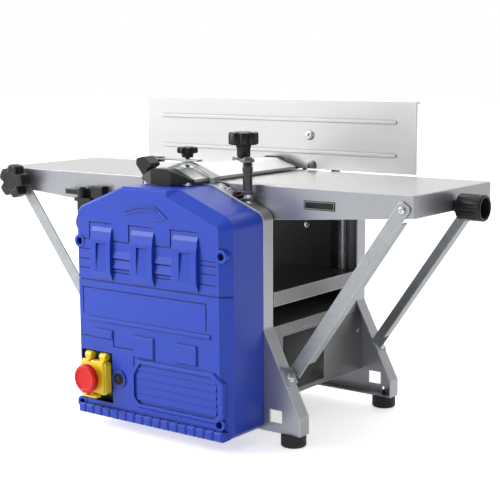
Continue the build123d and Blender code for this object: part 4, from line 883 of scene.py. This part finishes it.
def labels():
    """Two thin blank plates; the one on the infeed table's skirt has a raised border."""
    thickness, tucked = 0.6, 0.2
    table_low, _ = box_mm("infeed_table")
    x0, x1, z0, z1 = 182.5, 231, 320, 332
    skirt = table_low.y
    bm = bmesh.new()
    rounded_box(bm, (x0, skirt - thickness, z0), (x1, skirt + tucked, z1), 0.25, segments=2)
    piece("maker_plate", bm, "infeed_table_body", BLACK)
    bm = bmesh.new()
    face = skirt - thickness
    for x0, x1, z0, z1 in ((184, 229.5, 330.2, 330.8), (184, 229.5, 321.2, 321.8),
                           (184, 184.6, 321.2, 330.8), (228.9, 229.5, 321.2, 330.8)):
        rounded_box(bm, (x0, face - 0.25, z0), (x1, face + 0.1, z1), 0.1, segments=1)
    piece("maker_plate_border", bm, "infeed_table_body", ZINC)
    _, box_high = box_mm("base_shell")
    y0, y1, z0, z1 = -80, 21, 57, 137
    panel = box_high.x - 1.5
    bm = bmesh.new()
    rounded_box(bm, (panel - tucked, y0, z0), (panel + thickness, y1, z1), 0.25, segments=2)
    piece("rating_plate", bm, "frame", BLACK)


for build in (crank_knob, strut_clamp_knob, guard_clamp_knob, tilt_lock_knob, ribbed_depth_knob,
              feed_selector_knob, crank_parts, stop_button, switch_lid, overload_cap, feet,
              strut_bolts, fence_fixings, guard_details, small_screws, shoulder_fittings, labels):
    build()
for post, body in (("spindle_front_right", "crank_post"),
                   ("spindle_rear_right", "rear_right_post"),
                   ("spindle_front_left", "front_left_post"),
                   ("spindle_rear_left", "rear_left_post")):
    threaded_post(post, body)


# ---- studio -------------------------------------------------------------------------------------
LAMPS = (
    # name, place, target, size, watts
    ("key", (-2.05, -2.1, 1.75), (0, 0, 0.25), 1.6, 54),
    ("top", (0.2, 0.3, 2.4), (0, 0, 0.3), 2.0, 9),
    ("left", (-2.2, -0.4, 0.8), (-0.1, -0.1, 0.2), 1.0, 14),
)
EYE = (1.0965, -1.4499, 0.5217)
EYE_TURN, EYE_LIFT, EYE_ROLL = radians(36.71), radians(8.94), radians(-0.29)
FOCAL_LENGTH, SENSOR_WIDTH = 89.68, 36


def backdrop():
    """Pale floor that runs out of sight."""
    mesh = bpy.data.meshes.new("floor")
    half = 12.0
    corners = [(-half, -half, 0), (half, -half, 0), (half, half, 0), (-half, half, 0)]
    mesh.from_pydata(corners, [], [(0, 1, 2, 3)])
    floor = bpy.data.objects.new("floor", mesh)
    scene.collection.objects.link(floor)
    look = Finish("floor_white", (0.93, 0.93, 0.93), 0.7, Emission_Color=(1, 1, 1, 1))
    look.drift(2, (0.91, 0.91, 0.91), 0.5)
    seen = look.node("ShaderNodeLightPath")
    to_camera = look.span(seen.outputs["Is Camera Ray"], 0, 1, 0, 0.6)
    in_metal = look.span(seen.outputs["Is Glossy Ray"], 0, 1, 0, 0.35)
    glow = combine(look.tree, "ADD", to_camera, in_metal)
    look.join(glow, look.shader.inputs["Emission Strength"])
    mesh.materials.append(look.done())


def sky():
    """White room, brighter overhead, behind and to the left, darker on the right."""
    world = bpy.data.worlds.new("studio")
    scene.world = world
    world.use_nodes = True
    tree = world.node_tree
    back = tree.nodes["Background"]
    where = add_node(tree, "ShaderNodeTexCoord")
    split = add_node(tree, "ShaderNodeSeparateXYZ")
    tree.links.new(where.outputs["Generated"], split.inputs[0])
    overhead = remap(tree, split.outputs["Z"], -0.2, 0.9, 0.5, 0.8)
    left = remap(tree, split.outputs["X"], -0.9, 0.9, 1.25, 0.38)
    behind = remap(tree, split.outputs["Y"], 0.1, 0.9, 1.0, 2.3)
    around = combine(tree, "MULTIPLY", behind, left)
    light = combine(tree, "MULTIPLY", overhead, around)
    seen = add_node(tree, "ShaderNodeLightPath")
    pick = add_node(tree, "ShaderNodeMix")
    pick.inputs["B"].default_value = 1.0
    tree.links.new(seen.outputs["Is Camera Ray"], pick.inputs["Factor"])
    tree.links.new(light, pick.inputs["A"])
    tree.links.new(pick.outputs["Result"], back.inputs["Strength"])
    back.inputs["Color"].default_value = (1, 1, 1, 1)


def softbox(name, place, target, size, watts):
    light = bpy.data.lights.new(name, "AREA")
    light.size = size
    light.energy = watts
    lamp = bpy.data.objects.new(name, light)
    lamp.location = place
    lamp.rotation_euler = (Vector(target) - Vector(place)).to_track_quat("-Z", "Y").to_euler()
    lamp.visible_camera = False
    scene.collection.objects.link(lamp)


def camera():
    """From the front right, a little above the tables."""
    behind = Vector((sin(EYE_TURN) * cos(EYE_LIFT), -cos(EYE_TURN) * cos(EYE_LIFT), sin(EYE_LIFT)))
    right = (-behind).cross(Vector((0, 0, 1))).normalized()
    up = right.cross(-behind)
    across = right * cos(EYE_ROLL) + up * sin(EYE_ROLL)
    upright = up * cos(EYE_ROLL) - right * sin(EYE_ROLL)
    lens = bpy.data.cameras.new("camera")
    lens.sensor_width = SENSOR_WIDTH
    lens.lens = FOCAL_LENGTH
    lens.clip_end = 50
    eye = bpy.data.objects.new("camera", lens)
    rows = [(across[i], upright[i], behind[i], EYE[i]) for i in range(3)]
    eye.matrix_world = Matrix((*rows, (0, 0, 0, 1)))
    scene.collection.objects.link(eye)
    scene.camera = eye


backdrop()
sky()
for lamp in LAMPS:
    softbox(*lamp)
camera()
scene.view_settings.view_transform = "Standard"
